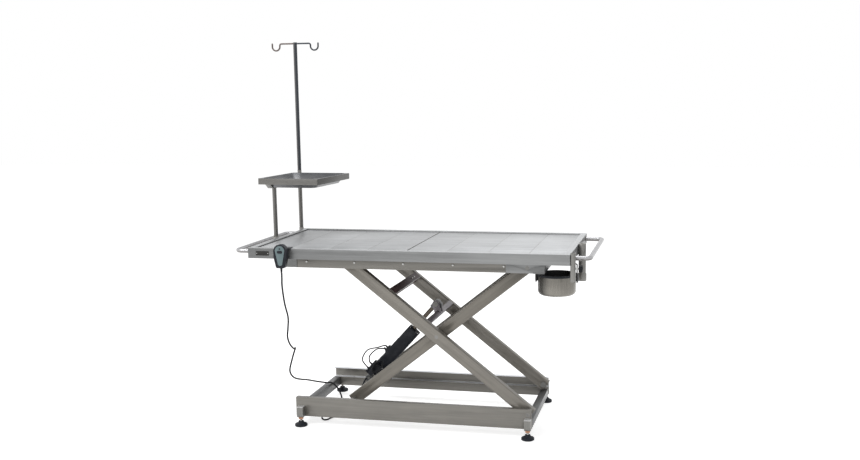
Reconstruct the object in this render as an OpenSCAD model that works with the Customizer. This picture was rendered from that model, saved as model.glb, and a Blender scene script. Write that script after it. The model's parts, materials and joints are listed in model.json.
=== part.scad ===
// Veterinary surgery table on a powered scissor lift
// Millimetres. The origin lies on the floor under the middle of the top.
// X runs along the table, Y runs to its far side, Z is up.

/* [Table top] */
// Length of the top over its end faces
table_l = 1300; // [1240:10:1500]
// Width of the top over its long faces
table_w = 625; // [600:5:700]
// Height of the rim above the floor as the table stands here
table_h = 750; // [650:5:840]
// Depth of the folded face round the top
fascia_h = 42; // [40:1:60]
// Width of the flat rim band
rim_w = 25; // [20:1:32]
// Thickness of the sheet of the rim and the deck
sheet_t = 1.5; // [1:0.1:2]
// Drop from the rim down to the deck
deck_drop = 5; // [3:0.5:8]
// Gap between the two halves of the deck
deck_gap = 4; // [2:0.5:8]
// Running gap round each half of the deck
deck_play = 0.5; // [0.3:0.1:1]
// Width of the ledge that carries the deck
ledge_w = 14; // [10:1:20]
// Width of the return fold under the face
fold_w = 10; // [6:1:14]
// Width of a pressed crease across the deck
crease_w = 3; // [2:0.5:4]
// Depth of a pressed crease
crease_depth = 0.4; // [0.2:0.1:0.6]
// Height of the bearers under the deck
bearer_h = 14; // [10:1:18]
// Width of the bearers under the deck
bearer_w = 30; // [20:1:40]

/* [Rails] */
// Width over the rails of the base and of the top frame
rail_span = 494; // [484:2:500]
// Wall of the rails and cross tubes
rail_wall = 2.5; // [2:0.5:3]
// Depth of the rails' box and flange
rail_d = 22; // [21:0.5:23]
// Height of the box along the base rails
base_box_h = 40; // [30:1:44]
// Height of the box along the upper rails
top_box_h = 24; // [16:1:30]
// Left end of the base, from the middle
base_left = 494; // [484:1:530]
// Right end of the base, from the middle
base_right = 493; // [492:1:520]
// Width of the cross tube at the left end of the base
base_cross_w = 28; // [20:1:32]
// Width of the cross tube at the right end of the base
base_end_w = 30; // [20:1:32]
// Gap from the cross tube at the right end up to the sweep of the arm ends
base_end_gap = 0.8; // [0.5:0.1:4]
// Left end of the top frame, from the middle
top_left = 516; // [500:1:560]
// Right end of the top frame, from the middle
top_right = 545; // [536:1:580]
// Width of the cross tube at the left end of the top frame
top_cross_w = 48; // [30:1:60]
// Width of the cross tube at the right end of the top frame
top_end_w = 30; // [20:1:34]
// Height of the cross tube at the right end of the top frame
top_end_h = 40; // [30:1:50]
// Length of the pivot plates on the upper rails
plate_l = 151; // [120:1:180]
// Height of the pivot plates
plate_h = 36; // [34:1:38]
// Thickness of the pivot plates
plate_t = 3; // [2:0.5:4]
// Length of the lip under each pivot plate
lip_l = 44; // [20:1:60]
// Reach of the lip under each pivot plate
lip_w = 8; // [4:1:10]

/* [Feet] */
// Height of the rails above the floor
foot_h = 38; // [36:1:60]
// Left feet, from the middle
foot_left = 469; // [440:1:480]
// Right feet, from the middle
foot_right = 480; // [440:1:480]
// Side of the foot brackets
bracket_s = 26; // [22:1:30]
// Height of the foot brackets
bracket_h = 45; // [36:1:60]
// Diameter of the levelling studs
stud_d = 10; // [8:1:12]
// Reach of the studs into the brackets
stud_reach = 30; // [15:1:32]
// Diameter of the pads
pad_d = 52; // [40:1:60]
// Height of the pads
pad_h = 22; // [16:1:24]
// Height of the lock nuts
nut_h = 8; // [6:1:10]
// Width across the corners of the lock nuts
nut_d = 21; // [18:1:24]

/* [Scissor] */
// Length of an arm between its end pivots
arm_l = 950; // [900:5:1000]
// Fixed pivots, from the middle
pivot_x = 478; // [474:1:480]
// Height of an arm
arm_h = 50; // [40:1:52]
// Width of an arm
arm_w = 30; // [26:1:32]
// Wall of an arm
arm_wall = 2.5; // [2:0.5:3]
// Corner radius of an arm
arm_r = 4; // [3:0.5:6]
// Reach of an arm past its end pivots
arm_end = 12; // [10:1:14]
// Gap from an outer arm to the box of its rail
arm_gap = 1.5; // [1:0.1:3]
// Gap between an outer arm and the inner arm beside it
arm_space = 33.5; // [20:0.5:40]
// Diameter of the pivot pins
pin_d = 16; // [12:1:18]
// Diameter of the bosses in the arms
boss_d = 26; // [24:1:30]
// Running clearance of pins, on the radius
pin_play = 0.05; // [0.02:0.01:0.1]
// Diameter of the rollers
roller_d = 36; // [30:1:40]
// Width of the rollers
roller_w = 12; // [10:1:13]
// Gap from a roller to the face that it runs on
roller_gap = 0.5; // [0.3:0.1:0.8]
// Play of a roller on its other side
roller_play = 1; // [0.5:0.1:2]
// Top edge of the upper tie, along the outer arms from the middle pivot
tie_s = 272; // [220:1:300]
// Side of the square ties
tie_w = 30; // [24:1:32]
// Start of the clevis tie, along the outer arms from the middle pivot
clevis_s = 54; // [50:1:54]
// Width of the clevis tie
clevis_w = 22; // [18:1:22]
// Thickness of the clevis tie
clevis_t = 20; // [16:1:20]
// Inner tie, along the inner arms from the middle pivot
inner_tie_s = 435; // [432:1:440]

/* [Lift drive] */
// Rod pin, along the outer arms from the middle pivot
rod_pin_s = 98; // [94:1:104]
// Rod pin, above the middle of the outer arms
rod_pin_n = 40; // [38:1:42]
// Lower pin, along the inner arms from the middle pivot
foot_pin_s = 427; // [422:1:430]
// Lower pin, above the middle of the inner arms
foot_pin_n = 30; // [30:1:34]
// Diameter of the lower pin
foot_pin_d = 12; // [10:1:14]
// Thickness of the clevis ears
ear_t = 8; // [5:1:10]
// Width of the eyes between the ears
eye_w = 26; // [20:1:30]
// Gap from an eye to its ears
eye_gap = 0.5; // [0.3:0.1:1]
// Depth of the drive's body, across the table
drive_w = 43; // [40:1:48]
// Height of the drive's body
drive_h = 54; // [44:1:56]
// Drop of the body's middle below the rod
drive_sag = 5.5; // [0:0.5:6]
// Corner radius of the drive's body
drive_r = 8; // [4:1:12]
// Upper end of the body, from the lower pin
drive_l = 297; // [280:1:300]
// Lower end of the square body, from the lower pin
drive_start = 84; // [80:1:90]
// Lower end of the gear housing, from the lower pin
gear_start = 26; // [24:1:30]
// Diameter of the motor
motor_d = 52; // [44:1:56]
// Length of the motor
motor_l = 118; // [90:1:130]
// Distance of the motor's axis from the body's
motor_y = 54; // [52:1:60]
// Diameter of the rod
rod_d = 18; // [16:1:22]
// Running clearance of the rod, on the radius
rod_play = 0.1; // [0.05:0.01:0.1]
// Inner end of the rod, from the lower pin
rod_start = 128; // [124:1:150]
// Travel kept free below the rod
rod_free = 68; // [66:1:72]
// Room in the rod's eye along the rod
eye_slack = 3.2; // [3:0.1:5]
// Wall round the room in the rod's eye
eye_wall = 4; // [3:0.5:4]
// Room in the rod's eye across the rod
eye_slot = 11; // [10.5:0.5:14]

/* [Handles, sockets and stand] */
// Diameter of the handle tube
handle_d = 18; // [14:1:22]
// Reach of a handle's bar past the end of the top
handle_reach = 71; // [50:1:90]
// Distance between the legs of a handle
handle_span = 532; // [480:4:540]
// Bend radius of a handle
handle_r = 22; // [14:1:30]
// Handle below the rim
handle_drop = 19; // [12:1:24]
// Sockets, past the end of the top
socket_x = 15; // [15:0.5:18]
// Middle socket, from the middle of the width
socket_y = 15; // [0:1:40]
// Corner socket, in from the side of the top
corner_inset = 10.5; // [9:0.5:20]
// Outer diameter of the middle sockets
socket_d = 30; // [26:1:30]
// Collar at the foot of a middle socket
collar_d = 35; // [31:1:36]
// Length of that collar
collar_h = 30; // [15:1:40]
// Outer diameter of the corner sockets
corner_d = 20.6; // [20.6:0.1:24]
// Length of the middle socket at the right end
socket_l = 152; // [110:1:160]
// Length of the middle socket under the tray
socket_short = 94; // [80:1:110]
// Length of the corner sockets
corner_l = 110; // [90:1:120]
// Rise of the middle sockets above the rim
socket_rise = 2; // [0:0.5:5]
// Rise of the corner sockets above the rim
corner_rise = 5; // [0:0.5:8]
// Diameter of the posts
post_d = 18; // [16:0.5:18]
// Clearance of a post in its socket, on the radius
post_play = 0.1; // [0.05:0.01:0.1]
// Foot of the posts, below the rim
post_drop = 93; // [60:1:93]
// Diameter of the clamp knobs
knob_d = 28; // [24:1:34]
// Thickness of the clamp knobs
knob_t = 16; // [12:1:20]
// Diameter of the clamp studs
clamp_d = 8; // [6:1:8]
// Gap from a corner socket to its knob
knob_gap = 11; // [6:1:14]
// Clamp studs, below the rim
clamp_drop = 53; // [45:1:60]
// Top of the tray's frame above the rim
tray_rise = 257; // [200:1:320]
// Height of the flat bar of the tray's frame
tray_bar_h = 25; // [20:1:30]
// Thickness of that bar
tray_bar_t = 4; // [3:0.5:5]
// Left edge of the tray's frame, past the front post
tray_left = 42; // [36:1:50]
// Length of the tray's frame along the table
tray_w = 275; // [240:1:300]
// Front edge of the tray's frame, before the front post
tray_front = 63; // [55:1:70]
// Turn of the tray's frame about the front post
tray_turn = 3.8; // [2.8:0.2:4]
// Depth of the pan
pan_depth = 40; // [30:1:45]
// Sheet of the pan
pan_t = 1; // [0.8:0.1:1.5]
// Corner radius of the pan
pan_r = 40; // [25:1:45]
// Slope of the pan's sides, drawn in at the floor
pan_draw = 26; // [20:1:30]
// Diameter of the drip pole
pole_d = 17; // [15:0.5:17]
// Top of the drip pole above the rim
pole_rise = 835; // [700:5:900]
// Foot of the drip pole above the tray's frame
pole_foot = 12; // [8:1:20]
// Diameter of the spigot at the pole's foot
spigot_d = 13; // [11:0.5:13]
// Length of the spigot
spigot_l = 50; // [30:1:60]
// Reach of the hooks' tips from the pole
hook_reach = 109; // [90:1:130]
// Diameter of the hook wire
hook_d = 7; // [6:0.5:8]
// Radius of the hooks
hook_r = 18; // [14:1:22]
// Drop from the bar to the bottom of the hooks
hook_drop = 30; // [28:1:36]

/* [Waste pot] */
// Outer diameter of the pot
pot_d = 154; // [120:1:156]
// Height of the pot
pot_h = 84; // [60:1:90]
// Wall of the pot
pot_wall = 1.2; // [1:0.1:2]
// Radius of the pot's bottom edge
pot_r = 16; // [8:1:24]
// Middle of the pot, from the middle of the top
pot_x = 580; // [574:1:584]
// Middle of the pot, in front of the middle of the top
pot_y = 150; // [60:1:180]
// Rim of the pot below the rim of the top
pot_drop = 99; // [95:1:110]
// Height of the black band round the pot's rim
band_h = 9; // [4:1:10]
// Thickness of that band
band_t = 2; // [1:0.5:3]
// Reach of the pot's lugs
lug_reach = 8; // [8:1:10]
// Height of the pot's lugs
lug_h = 20; // [14:1:24]
// Width of the pot's lugs
lug_w = 22; // [16:1:30]
// Diameter of the pot's hooks
wire_d = 5; // [4:0.5:6]

/* [Handset] */
// Middle of the handset, left of the middle of the top
handset_x = 500.5; // [490:0.5:510]
// Width of the handset
handset_w = 54; // [46:1:58]
// Width of the handset's foot
handset_foot_w = 38; // [24:1:44]
// Length of the handset
handset_l = 95; // [88:1:110]
// Thickness of the handset
handset_t = 25; // [20:1:28]
// Top of the handset above the rim
handset_rise = 20; // [16:1:30]
// Gap from the handset to the face of the top
handset_gap = 7.5; // [6:0.5:10]
// Thickness of the handset's hook
strap_t = 3; // [2:0.5:4]
// Width of the handset's hook
strap_w = 24; // [16:1:30]
// Hook, right of the middle of the handset
strap_x = 20; // [16:1:26]
// Inset of the pale face
face_inset = 5; // [2:0.5:6]
// Thickness of the pale face
face_t = 1.5; // [1:0.1:2]
// Width of the rocker key
rocker_w = 22; // [18:1:26]
// Height of the rocker key
rocker_h = 11; // [8:1:12]
// Rocker key below the top of the handset
rocker_drop = 30; // [28:1:40]
// Diameter of the strain relief
relief_d = 9; // [8:0.5:10]
// Length of the strain relief
relief_l = 20; // [16:1:24]

/* [Cords] */
// Diameter of the handset's cord and the drive's leads
cord_d = 5; // [4:0.5:6]

/* [Hidden] */

// Finish colours
STEEL = [0.72, 0.73, 0.72];
LIGHT = [0.82, 0.83, 0.82];
BLACK = [0.09, 0.09, 0.10];
COPPER = [0.72, 0.45, 0.32];
PALE = [0.62, 0.68, 0.68];
NYLON = [0.80, 0.80, 0.76];

// Fineness of round forms and the overlap of cutters
ROUND = 48;
CUT = 1;
SMALL = 0.3;

// Levels, from the rim down to the fixed pivots
channel_h = roller_d + roller_gap + roller_play;
deck_z = table_h - deck_drop;
bearer_z = deck_z - 2 * sheet_t;
top_rail_z = bearer_z - bearer_h;
top_rail_h = top_box_h + channel_h + rail_wall;
top_foot_z = top_rail_z - top_rail_h;
track_z = top_rail_z - top_box_h;
upper_z = track_z - roller_gap - roller_d / 2;
lower_z = foot_h + base_box_h + roller_gap + roller_d / 2;
base_rail_h = base_box_h + channel_h + rail_wall;

// Scissor geometry as the table stands here
arm_angle = asin((upper_z - lower_z) / arm_l);
roller_x = pivot_x - arm_l * cos(arm_angle);
middle_x = (pivot_x + roller_x) / 2;
middle_z = (upper_z + lower_z) / 2;
rail_y = rail_span / 2;
web_y = rail_y - rail_wall;
box_y = rail_y - rail_d;
outer_out = box_y - arm_gap;
outer_in = outer_out - arm_w;
inner_out = outer_in - arm_space;
inner_in = inner_out - arm_w;
outer_y = (outer_out + outer_in) / 2;
inner_y = (inner_out + inner_in) / 2;
arm_sweep = sqrt(pow(arm_end, 2) + pow(arm_h / 2, 2));
pin_end = 3;
washer_d = 24;
washer_t = 4;
axle_end = web_y - 2;

// Pins of the lift drive in the frame of the table
rod_pin = [
    middle_x - rod_pin_s * cos(arm_angle) + rod_pin_n * sin(arm_angle),
    middle_z + rod_pin_s * sin(arm_angle) + rod_pin_n * cos(arm_angle)
];
foot_pin = [
    middle_x - foot_pin_s * cos(arm_angle) - foot_pin_n * sin(arm_angle),
    middle_z - foot_pin_s * sin(arm_angle) + foot_pin_n * cos(arm_angle)
];
drive_angle = atan2(rod_pin[1] - foot_pin[1], rod_pin[0] - foot_pin[0]);
drive_span = norm(rod_pin - foot_pin);
ear_in = eye_w / 2 + eye_gap;
ear_out = ear_in + ear_t;

// Places at the ends of the top
end_x = table_l / 2;
side_y = table_w / 2;
post_x = end_x + socket_x;
corner_x = end_x + corner_d / 2;
corner_y = side_y - corner_inset;
handle_z = table_h - handle_drop;
tray_z = table_h + tray_rise;
pole_z = table_h + pole_rise;
pole_foot_z = tray_z + pole_foot;

// Tray's frame, from its front post and square to its turned sides
post_weld = 1.5;
rear_post = [post_x - corner_x, corner_y - socket_y];
rear_post_y = rear_post[0] * sin(tray_turn) + rear_post[1] * cos(tray_turn);
tray_depth = tray_front + rear_post_y - post_d / 2 + post_weld;

// Handset
handset_y = -side_y - handset_gap;
handset_top = table_h + handset_rise;
handset_z = handset_top - handset_l;
relief_y = handset_y - handset_t / 2;

// Waste pot
pot_z = table_h - pot_drop - pot_h;
lug_z = pot_z + pot_h - band_h;
lug_x = pot_d / 2 + lug_reach;
hook_foot_z = lug_z - lug_h - SMALL - wire_d / 2;

// Rounded rectangle about the origin
module rounded(w, h, r) {
    square([w - 2 * r, h], center = true);
    square([w, h - 2 * r], center = true);
    for (x = [-1, 1], y = [-1, 1])
        translate([x * (w / 2 - r), y * (h / 2 - r)]) circle(r = r, $fn = ROUND);
}

// Sweeps a section drawn in Y and Z along X
module along_x(x, length) {
    translate([x, 0, 0]) rotate([90, 0, 90]) linear_extrude(length) children();
}

// Sweeps a section drawn in X and Z along Y
module along_y(y, length) {
    translate([0, y + length, 0]) rotate([90, 0, 0]) linear_extrude(length) children();
}

// Round bar along Y
module bar_y(x, z, y0, y1, d) {
    translate([x, y0, z]) rotate([-90, 0, 0]) cylinder(h = y1 - y0, d = d, $fn = ROUND);
}

// Round bar along X
module bar_x(y, z, x0, x1, d) {
    translate([x0, y, z]) rotate([0, 90, 0]) cylinder(h = x1 - x0, d = d, $fn = ROUND);
}

// Upright round bar
module bar_z(x, y, z0, z1, d) {
    translate([x, y, z0]) cylinder(h = z1 - z0, d = d, $fn = ROUND);
}

// The front piece as drawn, or its mirror image at the rear
module side(rear) {
    if (rear) mirror([0, 1, 0]) children();
    else children();
}

// Frame of the outer arms, X up to the left from the middle pivot and Z square to the arm
module on_outer() {
    translate([middle_x, 0, middle_z]) rotate([0, arm_angle, 0]) mirror([1, 0, 0]) children();
}

// Frame of the inner arms, X up to the right from the middle pivot
module on_inner() {
    translate([middle_x, 0, middle_z]) rotate([0, -arm_angle, 0]) children();
}

// Frame of the lift drive, X from its lower pin to its rod pin
module on_drive() {
    translate([foot_pin[0], 0, foot_pin[1]]) rotate([0, -drive_angle, 0]) children();
}

// Section of a rail with its web outside, its box below and its flange on top
module rail_section(h, box_h) {
    square([rail_wall, h]);
    translate([0, h - rail_wall]) square([rail_d, rail_wall]);
    difference() {
        square([rail_d, box_h]);
        translate([rail_wall, rail_wall])
            square([rail_d - 2 * rail_wall, box_h - 2 * rail_wall]);
    }
}

// Square tube along Y between two faces, its ends open or capped
module cross_tube(x, z, w, h, y, cap = -CUT) {
    difference() {
        along_y(-y, 2 * y) translate([x, z]) square([w, h]);
        along_y(cap - y, 2 * (y - cap)) translate([x + rail_wall, z + rail_wall])
            square([w - 2 * rail_wall, h - 2 * rail_wall]);
    }
}

// Base
module base_rail() {
    difference() {
        translate([0, -rail_y, foot_h])
            along_x(-base_left, base_left + base_right) rail_section(base_rail_h, base_box_h);
        bar_y(pivot_x, lower_z, -rail_y - CUT, -web_y + CUT, pin_d);
    }
}
module base_rail_front() { color(STEEL) base_rail(); }
module base_rail_rear() { color(STEEL) side(true) base_rail(); }
module base_cross_left() {
    color(STEEL) cross_tube(-base_left, foot_h, base_cross_w, base_box_h, box_y);
}
module base_cross_right() {
    height = lower_z - arm_sweep - base_end_gap - foot_h;
    color(STEEL) cross_tube(base_right - base_end_w, foot_h, base_end_w, height, box_y);
}
module foot_bracket(x) {
    edge = 4;
    difference() {
        translate([x - bracket_s / 2, 0, 0]) along_x(0, bracket_s) polygon([
            [-rail_y, foot_h], [-rail_y, foot_h + bracket_h],
            [-rail_y - bracket_s, foot_h + bracket_h],
            [-rail_y - bracket_s, foot_h + edge], [-rail_y - bracket_s + edge, foot_h]
        ]);
        bar_z(x, -rail_y - bracket_s / 2, foot_h - CUT, foot_h + stud_reach + pin_end,
            stud_d + 2 * pin_play);
    }
}
module foot_brackets() {
    color(LIGHT) for (x = [-foot_left, foot_right], rear = [false, true])
        side(rear) foot_bracket(x);
}
module foot_nuts() {
    color(COPPER) for (x = [-foot_left, foot_right], rear = [false, true]) side(rear)
        translate([x, -rail_y - bracket_s / 2, foot_h - nut_h]) difference() {
            cylinder(h = nut_h, d = nut_d, $fn = 6);
            translate([0, 0, -CUT]) cylinder(h = nut_h + 2 * CUT, d = stud_d + 2 * pin_play,
                $fn = ROUND);
        }
}
module base_pivot() {
    recess_d = 8;
    difference() {
        union() {
            bar_y(pivot_x, lower_z, -rail_y, -outer_in + washer_t + SMALL, pin_d);
            bar_y(pivot_x, lower_z, -web_y, -outer_out - roller_gap, boss_d);
            bar_y(pivot_x, lower_z, -outer_in + SMALL, -outer_in + washer_t + SMALL, washer_d);
        }
        bar_y(pivot_x, lower_z, -rail_y - CUT, -rail_y + rail_wall, recess_d);
    }
}
module base_pivots() {
    color(LIGHT) for (rear = [false, true]) side(rear) base_pivot();
}

// Levelling foot with a coned pad, a ball neck and its stud
module foot(x) {
    tread = 5;
    neck = 8;
    color(BLACK) translate([x, -rail_y - bracket_s / 2, 0]) {
        rotate_extrude($fn = ROUND) polygon([
            [0, 0], [pad_d / 2 - 1, 0], [pad_d / 2, 1], [pad_d / 2, tread],
            [pad_d / 2 - 3, tread + 2], [neck + 2, pad_h - 3], [neck, pad_h], [0, pad_h]
        ]);
        translate([0, 0, pad_h - CUT])
            cylinder(h = foot_h + stud_reach - pad_h + CUT, d = stud_d, $fn = ROUND);
    }
}
module foot_front_left() { foot(-foot_left); }
module foot_front_right() { foot(foot_right); }
module foot_rear_left() { side(true) foot(-foot_left); }
module foot_rear_right() { side(true) foot(foot_right); }

// Scissor arm about its middle pivot, with a bushed bore at each pivot
module arm_bar(end_play, middle_play) {
    length = arm_l + 2 * arm_end;
    inside = length - 2 * arm_wall;
    difference() {
        union() {
            difference() {
                along_x(-length / 2, length) rounded(arm_w, arm_h, arm_r);
                along_x(-inside / 2, inside)
                    rounded(arm_w - 2 * arm_wall, arm_h - 2 * arm_wall, arm_r - arm_wall / 2);
            }
            for (x = [-arm_l / 2, 0, arm_l / 2]) bar_y(x, 0, -arm_w / 2, arm_w / 2, boss_d);
        }
        for (x = [-arm_l / 2, arm_l / 2]) bar_y(x, 0, -arm_w, arm_w, pin_d + 2 * end_play(x));
        bar_y(0, 0, -arm_w, arm_w, pin_d + 2 * middle_play);
    }
}
module outer_arm() {
    // The lower end runs on the base's pin and the other bores hold their own pins
    play = function (x) x < 0 ? pin_play : 0;
    color(STEEL) translate([0, -outer_y, 0]) on_outer() arm_bar(play, 0);
}
module inner_arm() {
    // The upper end and the middle run on pins and the lower end holds its axle
    play = function (x) x > 0 ? pin_play : 0;
    color(STEEL) translate([0, -inner_y, 0]) on_inner() arm_bar(play, pin_play);
}
module arm_outer_front() { outer_arm(); }
module arm_outer_rear() { side(true) outer_arm(); }
module arm_inner_front() { inner_arm(); }
module arm_inner_rear() { side(true) inner_arm(); }
module outer_tie() {
    color(LIGHT) on_outer()
        cross_tube(tie_s - tie_w, arm_h / 2 - tie_w, tie_w, tie_w, outer_in);
}
// Clevis plates on both sides of an eye
module ears(points, x, z, r) {
    for (y = [ear_in, -ear_out]) {
        along_y(y, ear_t) polygon(points);
        bar_y(x, z, y, y + ear_t, 2 * r);
    }
}
module clevis_tie() {
    r = 15;
    top = arm_h / 2;
    color(STEEL) on_outer() difference() {
        union() {
            cross_tube(clevis_s, top - clevis_t, clevis_w, clevis_t, outer_in);
            ears([
                [clevis_s + 4, top], [clevis_s + clevis_w, top - clevis_t],
                [rod_pin_s + 0.75 * r, rod_pin_n - 0.65 * r],
                [rod_pin_s - 0.65 * r, rod_pin_n + 0.75 * r]
            ], rod_pin_s, rod_pin_n, r);
        }
        translate([clevis_s + rail_wall, -box_y, top - clevis_t + rail_wall])
            cube([clevis_w - 2 * rail_wall, 2 * box_y, clevis_t - 2 * rail_wall]);
        bar_y(rod_pin_s, rod_pin_n, -box_y, box_y, pin_d);
    }
}
module outer_pins() {
    head_d = 22;
    color(LIGHT) {
        for (rear = [false, true]) side(rear) on_outer() {
            bar_y(0, 0, -outer_out, -inner_in + washer_t + SMALL, pin_d);
            bar_y(0, 0, -outer_in, -inner_out - SMALL, boss_d + 8);
            bar_y(0, 0, -inner_in + SMALL, -inner_in + washer_t + SMALL, washer_d);
            bar_y(arm_l / 2, 0, -axle_end, -outer_in + pin_end, pin_d);
        }
        on_outer() {
            bar_y(rod_pin_s, rod_pin_n, -ear_out - pin_end, ear_out + pin_end, pin_d);
            for (y = [-ear_out - pin_end, ear_out])
                bar_y(rod_pin_s, rod_pin_n, y, y + pin_end, head_d);
        }
    }
}
module roller(x, z) {
    out = box_y + (rail_d - rail_wall + roller_w) / 2;
    color(NYLON) difference() {
        bar_y(x, z, -out, -out + roller_w, roller_d);
        bar_y(x, z, -out - CUT, -out + roller_w + CUT, pin_d + 2 * pin_play);
    }
}
module roller_upper_front() { roller(roller_x, upper_z); }
module roller_upper_rear() { side(true) roller(roller_x, upper_z); }
module roller_lower_front() { roller(roller_x, lower_z); }
module roller_lower_rear() { side(true) roller(roller_x, lower_z); }
module inner_tie() {
    r = 15;
    half = tie_w / 2;
    color(STEEL) on_inner() difference() {
        union() {
            cross_tube(-inner_tie_s - half, -half, tie_w, tie_w, inner_in);
            ears([
                [-inner_tie_s - half, half], [-inner_tie_s + half, half],
                [-foot_pin_s + r, foot_pin_n], [-foot_pin_s - r, foot_pin_n]
            ], -foot_pin_s, foot_pin_n, r);
        }
        translate([-inner_tie_s - half + rail_wall, -box_y, -half + rail_wall])
            cube([tie_w - 2 * rail_wall, 2 * box_y, tie_w - 2 * rail_wall]);
        bar_y(-foot_pin_s, foot_pin_n, -box_y, box_y, foot_pin_d);
    }
}
module inner_pins() {
    sleeve_d = 22;
    color(LIGHT) {
        for (rear = [false, true]) side(rear) {
            bar_y(roller_x, lower_z, -axle_end, -inner_in + pin_end, pin_d);
            bar_y(roller_x, lower_z, -box_y - roller_gap, -inner_out, sleeve_d);
        }
        on_inner() bar_y(-foot_pin_s, foot_pin_n, -ear_out - pin_end, ear_out + pin_end,
            foot_pin_d);
    }
}

// Folded section of the rim, its outer face at zero and its top at zero
module rim_section() {
    seat = -deck_drop - sheet_t;
    translate([0, -fascia_h]) square([sheet_t, fascia_h]);
    translate([0, -sheet_t]) square([rim_w, sheet_t]);
    translate([rim_w - sheet_t, seat - sheet_t]) square([sheet_t, -seat + sheet_t]);
    translate([rim_w - sheet_t, seat - sheet_t]) square([ledge_w + sheet_t, sheet_t]);
    translate([0, -fascia_h]) square([fold_w, sheet_t]);
}
// One mitred side of the rim, along X with its outer face at the front
module rim_bar(length, width) {
    depth = rim_w + ledge_w;
    intersection() {
        translate([0, -width / 2, table_h]) along_x(-length / 2, length) rim_section();
        translate([0, 0, table_h - fascia_h]) linear_extrude(fascia_h) polygon([
            [-length / 2, -width / 2], [length / 2, -width / 2],
            [length / 2 - depth, -width / 2 + depth], [-length / 2 + depth, -width / 2 + depth]
        ]);
    }
}
module fascia_front() { color(STEEL) rim_bar(table_l, table_w); }
module fascia_rear() { color(STEEL) rotate([0, 0, 180]) rim_bar(table_l, table_w); }
module fascia_left() { color(STEEL) rotate([0, 0, -90]) rim_bar(table_w, table_l); }
module fascia_right() { color(STEEL) rotate([0, 0, 90]) rim_bar(table_w, table_l); }

// Top frame
module top_rail() {
    difference() {
        translate([0, -rail_y, top_rail_z]) mirror([0, 0, 1])
            along_x(-top_left + top_cross_w, top_left - top_cross_w + top_right)
            rail_section(top_rail_h, top_box_h);
        bar_y(pivot_x, upper_z, -rail_y - CUT, -web_y + CUT, pin_d);
    }
}
module top_rail_front() { color(STEEL) top_rail(); }
module top_rail_rear() { color(STEEL) side(true) top_rail(); }
module top_cross_left() {
    color(STEEL)
        cross_tube(-top_left, top_foot_z, top_cross_w, top_rail_h, rail_y, rail_wall);
}
module top_cross_right() {
    color(STEEL) cross_tube(top_right - top_end_w, top_foot_z, top_end_w, top_end_h, box_y);
}
module deck_bearers() {
    reach = side_y - sheet_t;
    color(STEEL) for (i = [-2:2])
        cross_tube(i * (end_x - 2 * ledge_w - rim_w - bearer_w) / 2 - bearer_w / 2,
            top_rail_z, bearer_w, bearer_h, reach);
}
module pivot_plate() {
    difference() {
        union() {
            translate([top_right - plate_l, -rail_y - plate_t, top_foot_z])
                cube([plate_l, plate_t, plate_h]);
            translate([top_right - lip_l, -rail_y - lip_w, top_foot_z])
                cube([lip_l, lip_w, rail_wall]);
        }
        bar_y(pivot_x, upper_z, -rail_y - 2 * plate_t, -web_y, pin_d);
    }
}
module pivot_plates() {
    color(LIGHT) for (rear = [false, true]) side(rear) pivot_plate();
}
module top_pivots() {
    color(LIGHT) for (rear = [false, true]) side(rear) {
        bar_y(pivot_x, upper_z, -rail_y - plate_t, -inner_in + washer_t + SMALL, pin_d);
        bar_y(pivot_x, upper_z, -web_y, -inner_out - roller_gap, boss_d);
        bar_y(pivot_x, upper_z, -inner_in + SMALL, -inner_in + washer_t + SMALL, washer_d);
    }
}

// Deck half with a hemmed inner edge and pressed creases
module deck_half() {
    hem_w = 12;
    inner = deck_gap / 2;
    outer = end_x - rim_w - deck_play;
    half_w = side_y - rim_w - deck_play;
    pitch = end_x / 4;
    difference() {
        union() {
            translate([inner, -half_w, deck_z - sheet_t]) cube([outer - inner, 2 * half_w, sheet_t]);
            translate([inner, -half_w + ledge_w + 2 * deck_play, bearer_z])
                cube([hem_w, 2 * (half_w - ledge_w - 2 * deck_play), sheet_t]);
        }
        for (i = [1:3]) translate([i * pitch, 0, deck_z]) along_y(-half_w - CUT, 2 * (half_w + CUT))
            polygon([[-crease_w / 2, SMALL], [crease_w / 2, SMALL], [0, -crease_depth]]);
    }
}
module deck_right() { color(LIGHT) deck_half(); }
// Left half, notched for the strap of the handset, so that it lifts past it
module deck_left() {
    slot = 2 * deck_play;
    color(LIGHT) difference() {
        rotate([0, 0, 180]) deck_half();
        translate([strap_x - handset_x - strap_w / 2 - slot, -side_y, deck_z - 2 * sheet_t])
            cube([strap_w + 2 * slot, rim_w + strap_t + slot, 3 * sheet_t]);
    }
}

// Bent tube handle on the end of the top
module handle() {
    bar = end_x + handle_reach;
    leg = handle_span / 2;
    color(LIGHT) translate([0, 0, handle_z]) {
        for (y = [-1, 1]) {
            bar_x(y * leg, 0, end_x, bar - handle_r, handle_d);
            translate([bar - handle_r, y * (leg - handle_r), 0])
                rotate([0, 0, y > 0 ? 0 : -90])
                rotate_extrude(angle = 90, $fn = ROUND) translate([handle_r, 0]) circle(d = handle_d);
        }
        bar_y(bar, 0, -leg + handle_r, leg - handle_r, handle_d);
    }
}
module handle_right() { handle(); }
module handle_left() { rotate([0, 0, 180]) handle(); }

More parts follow.
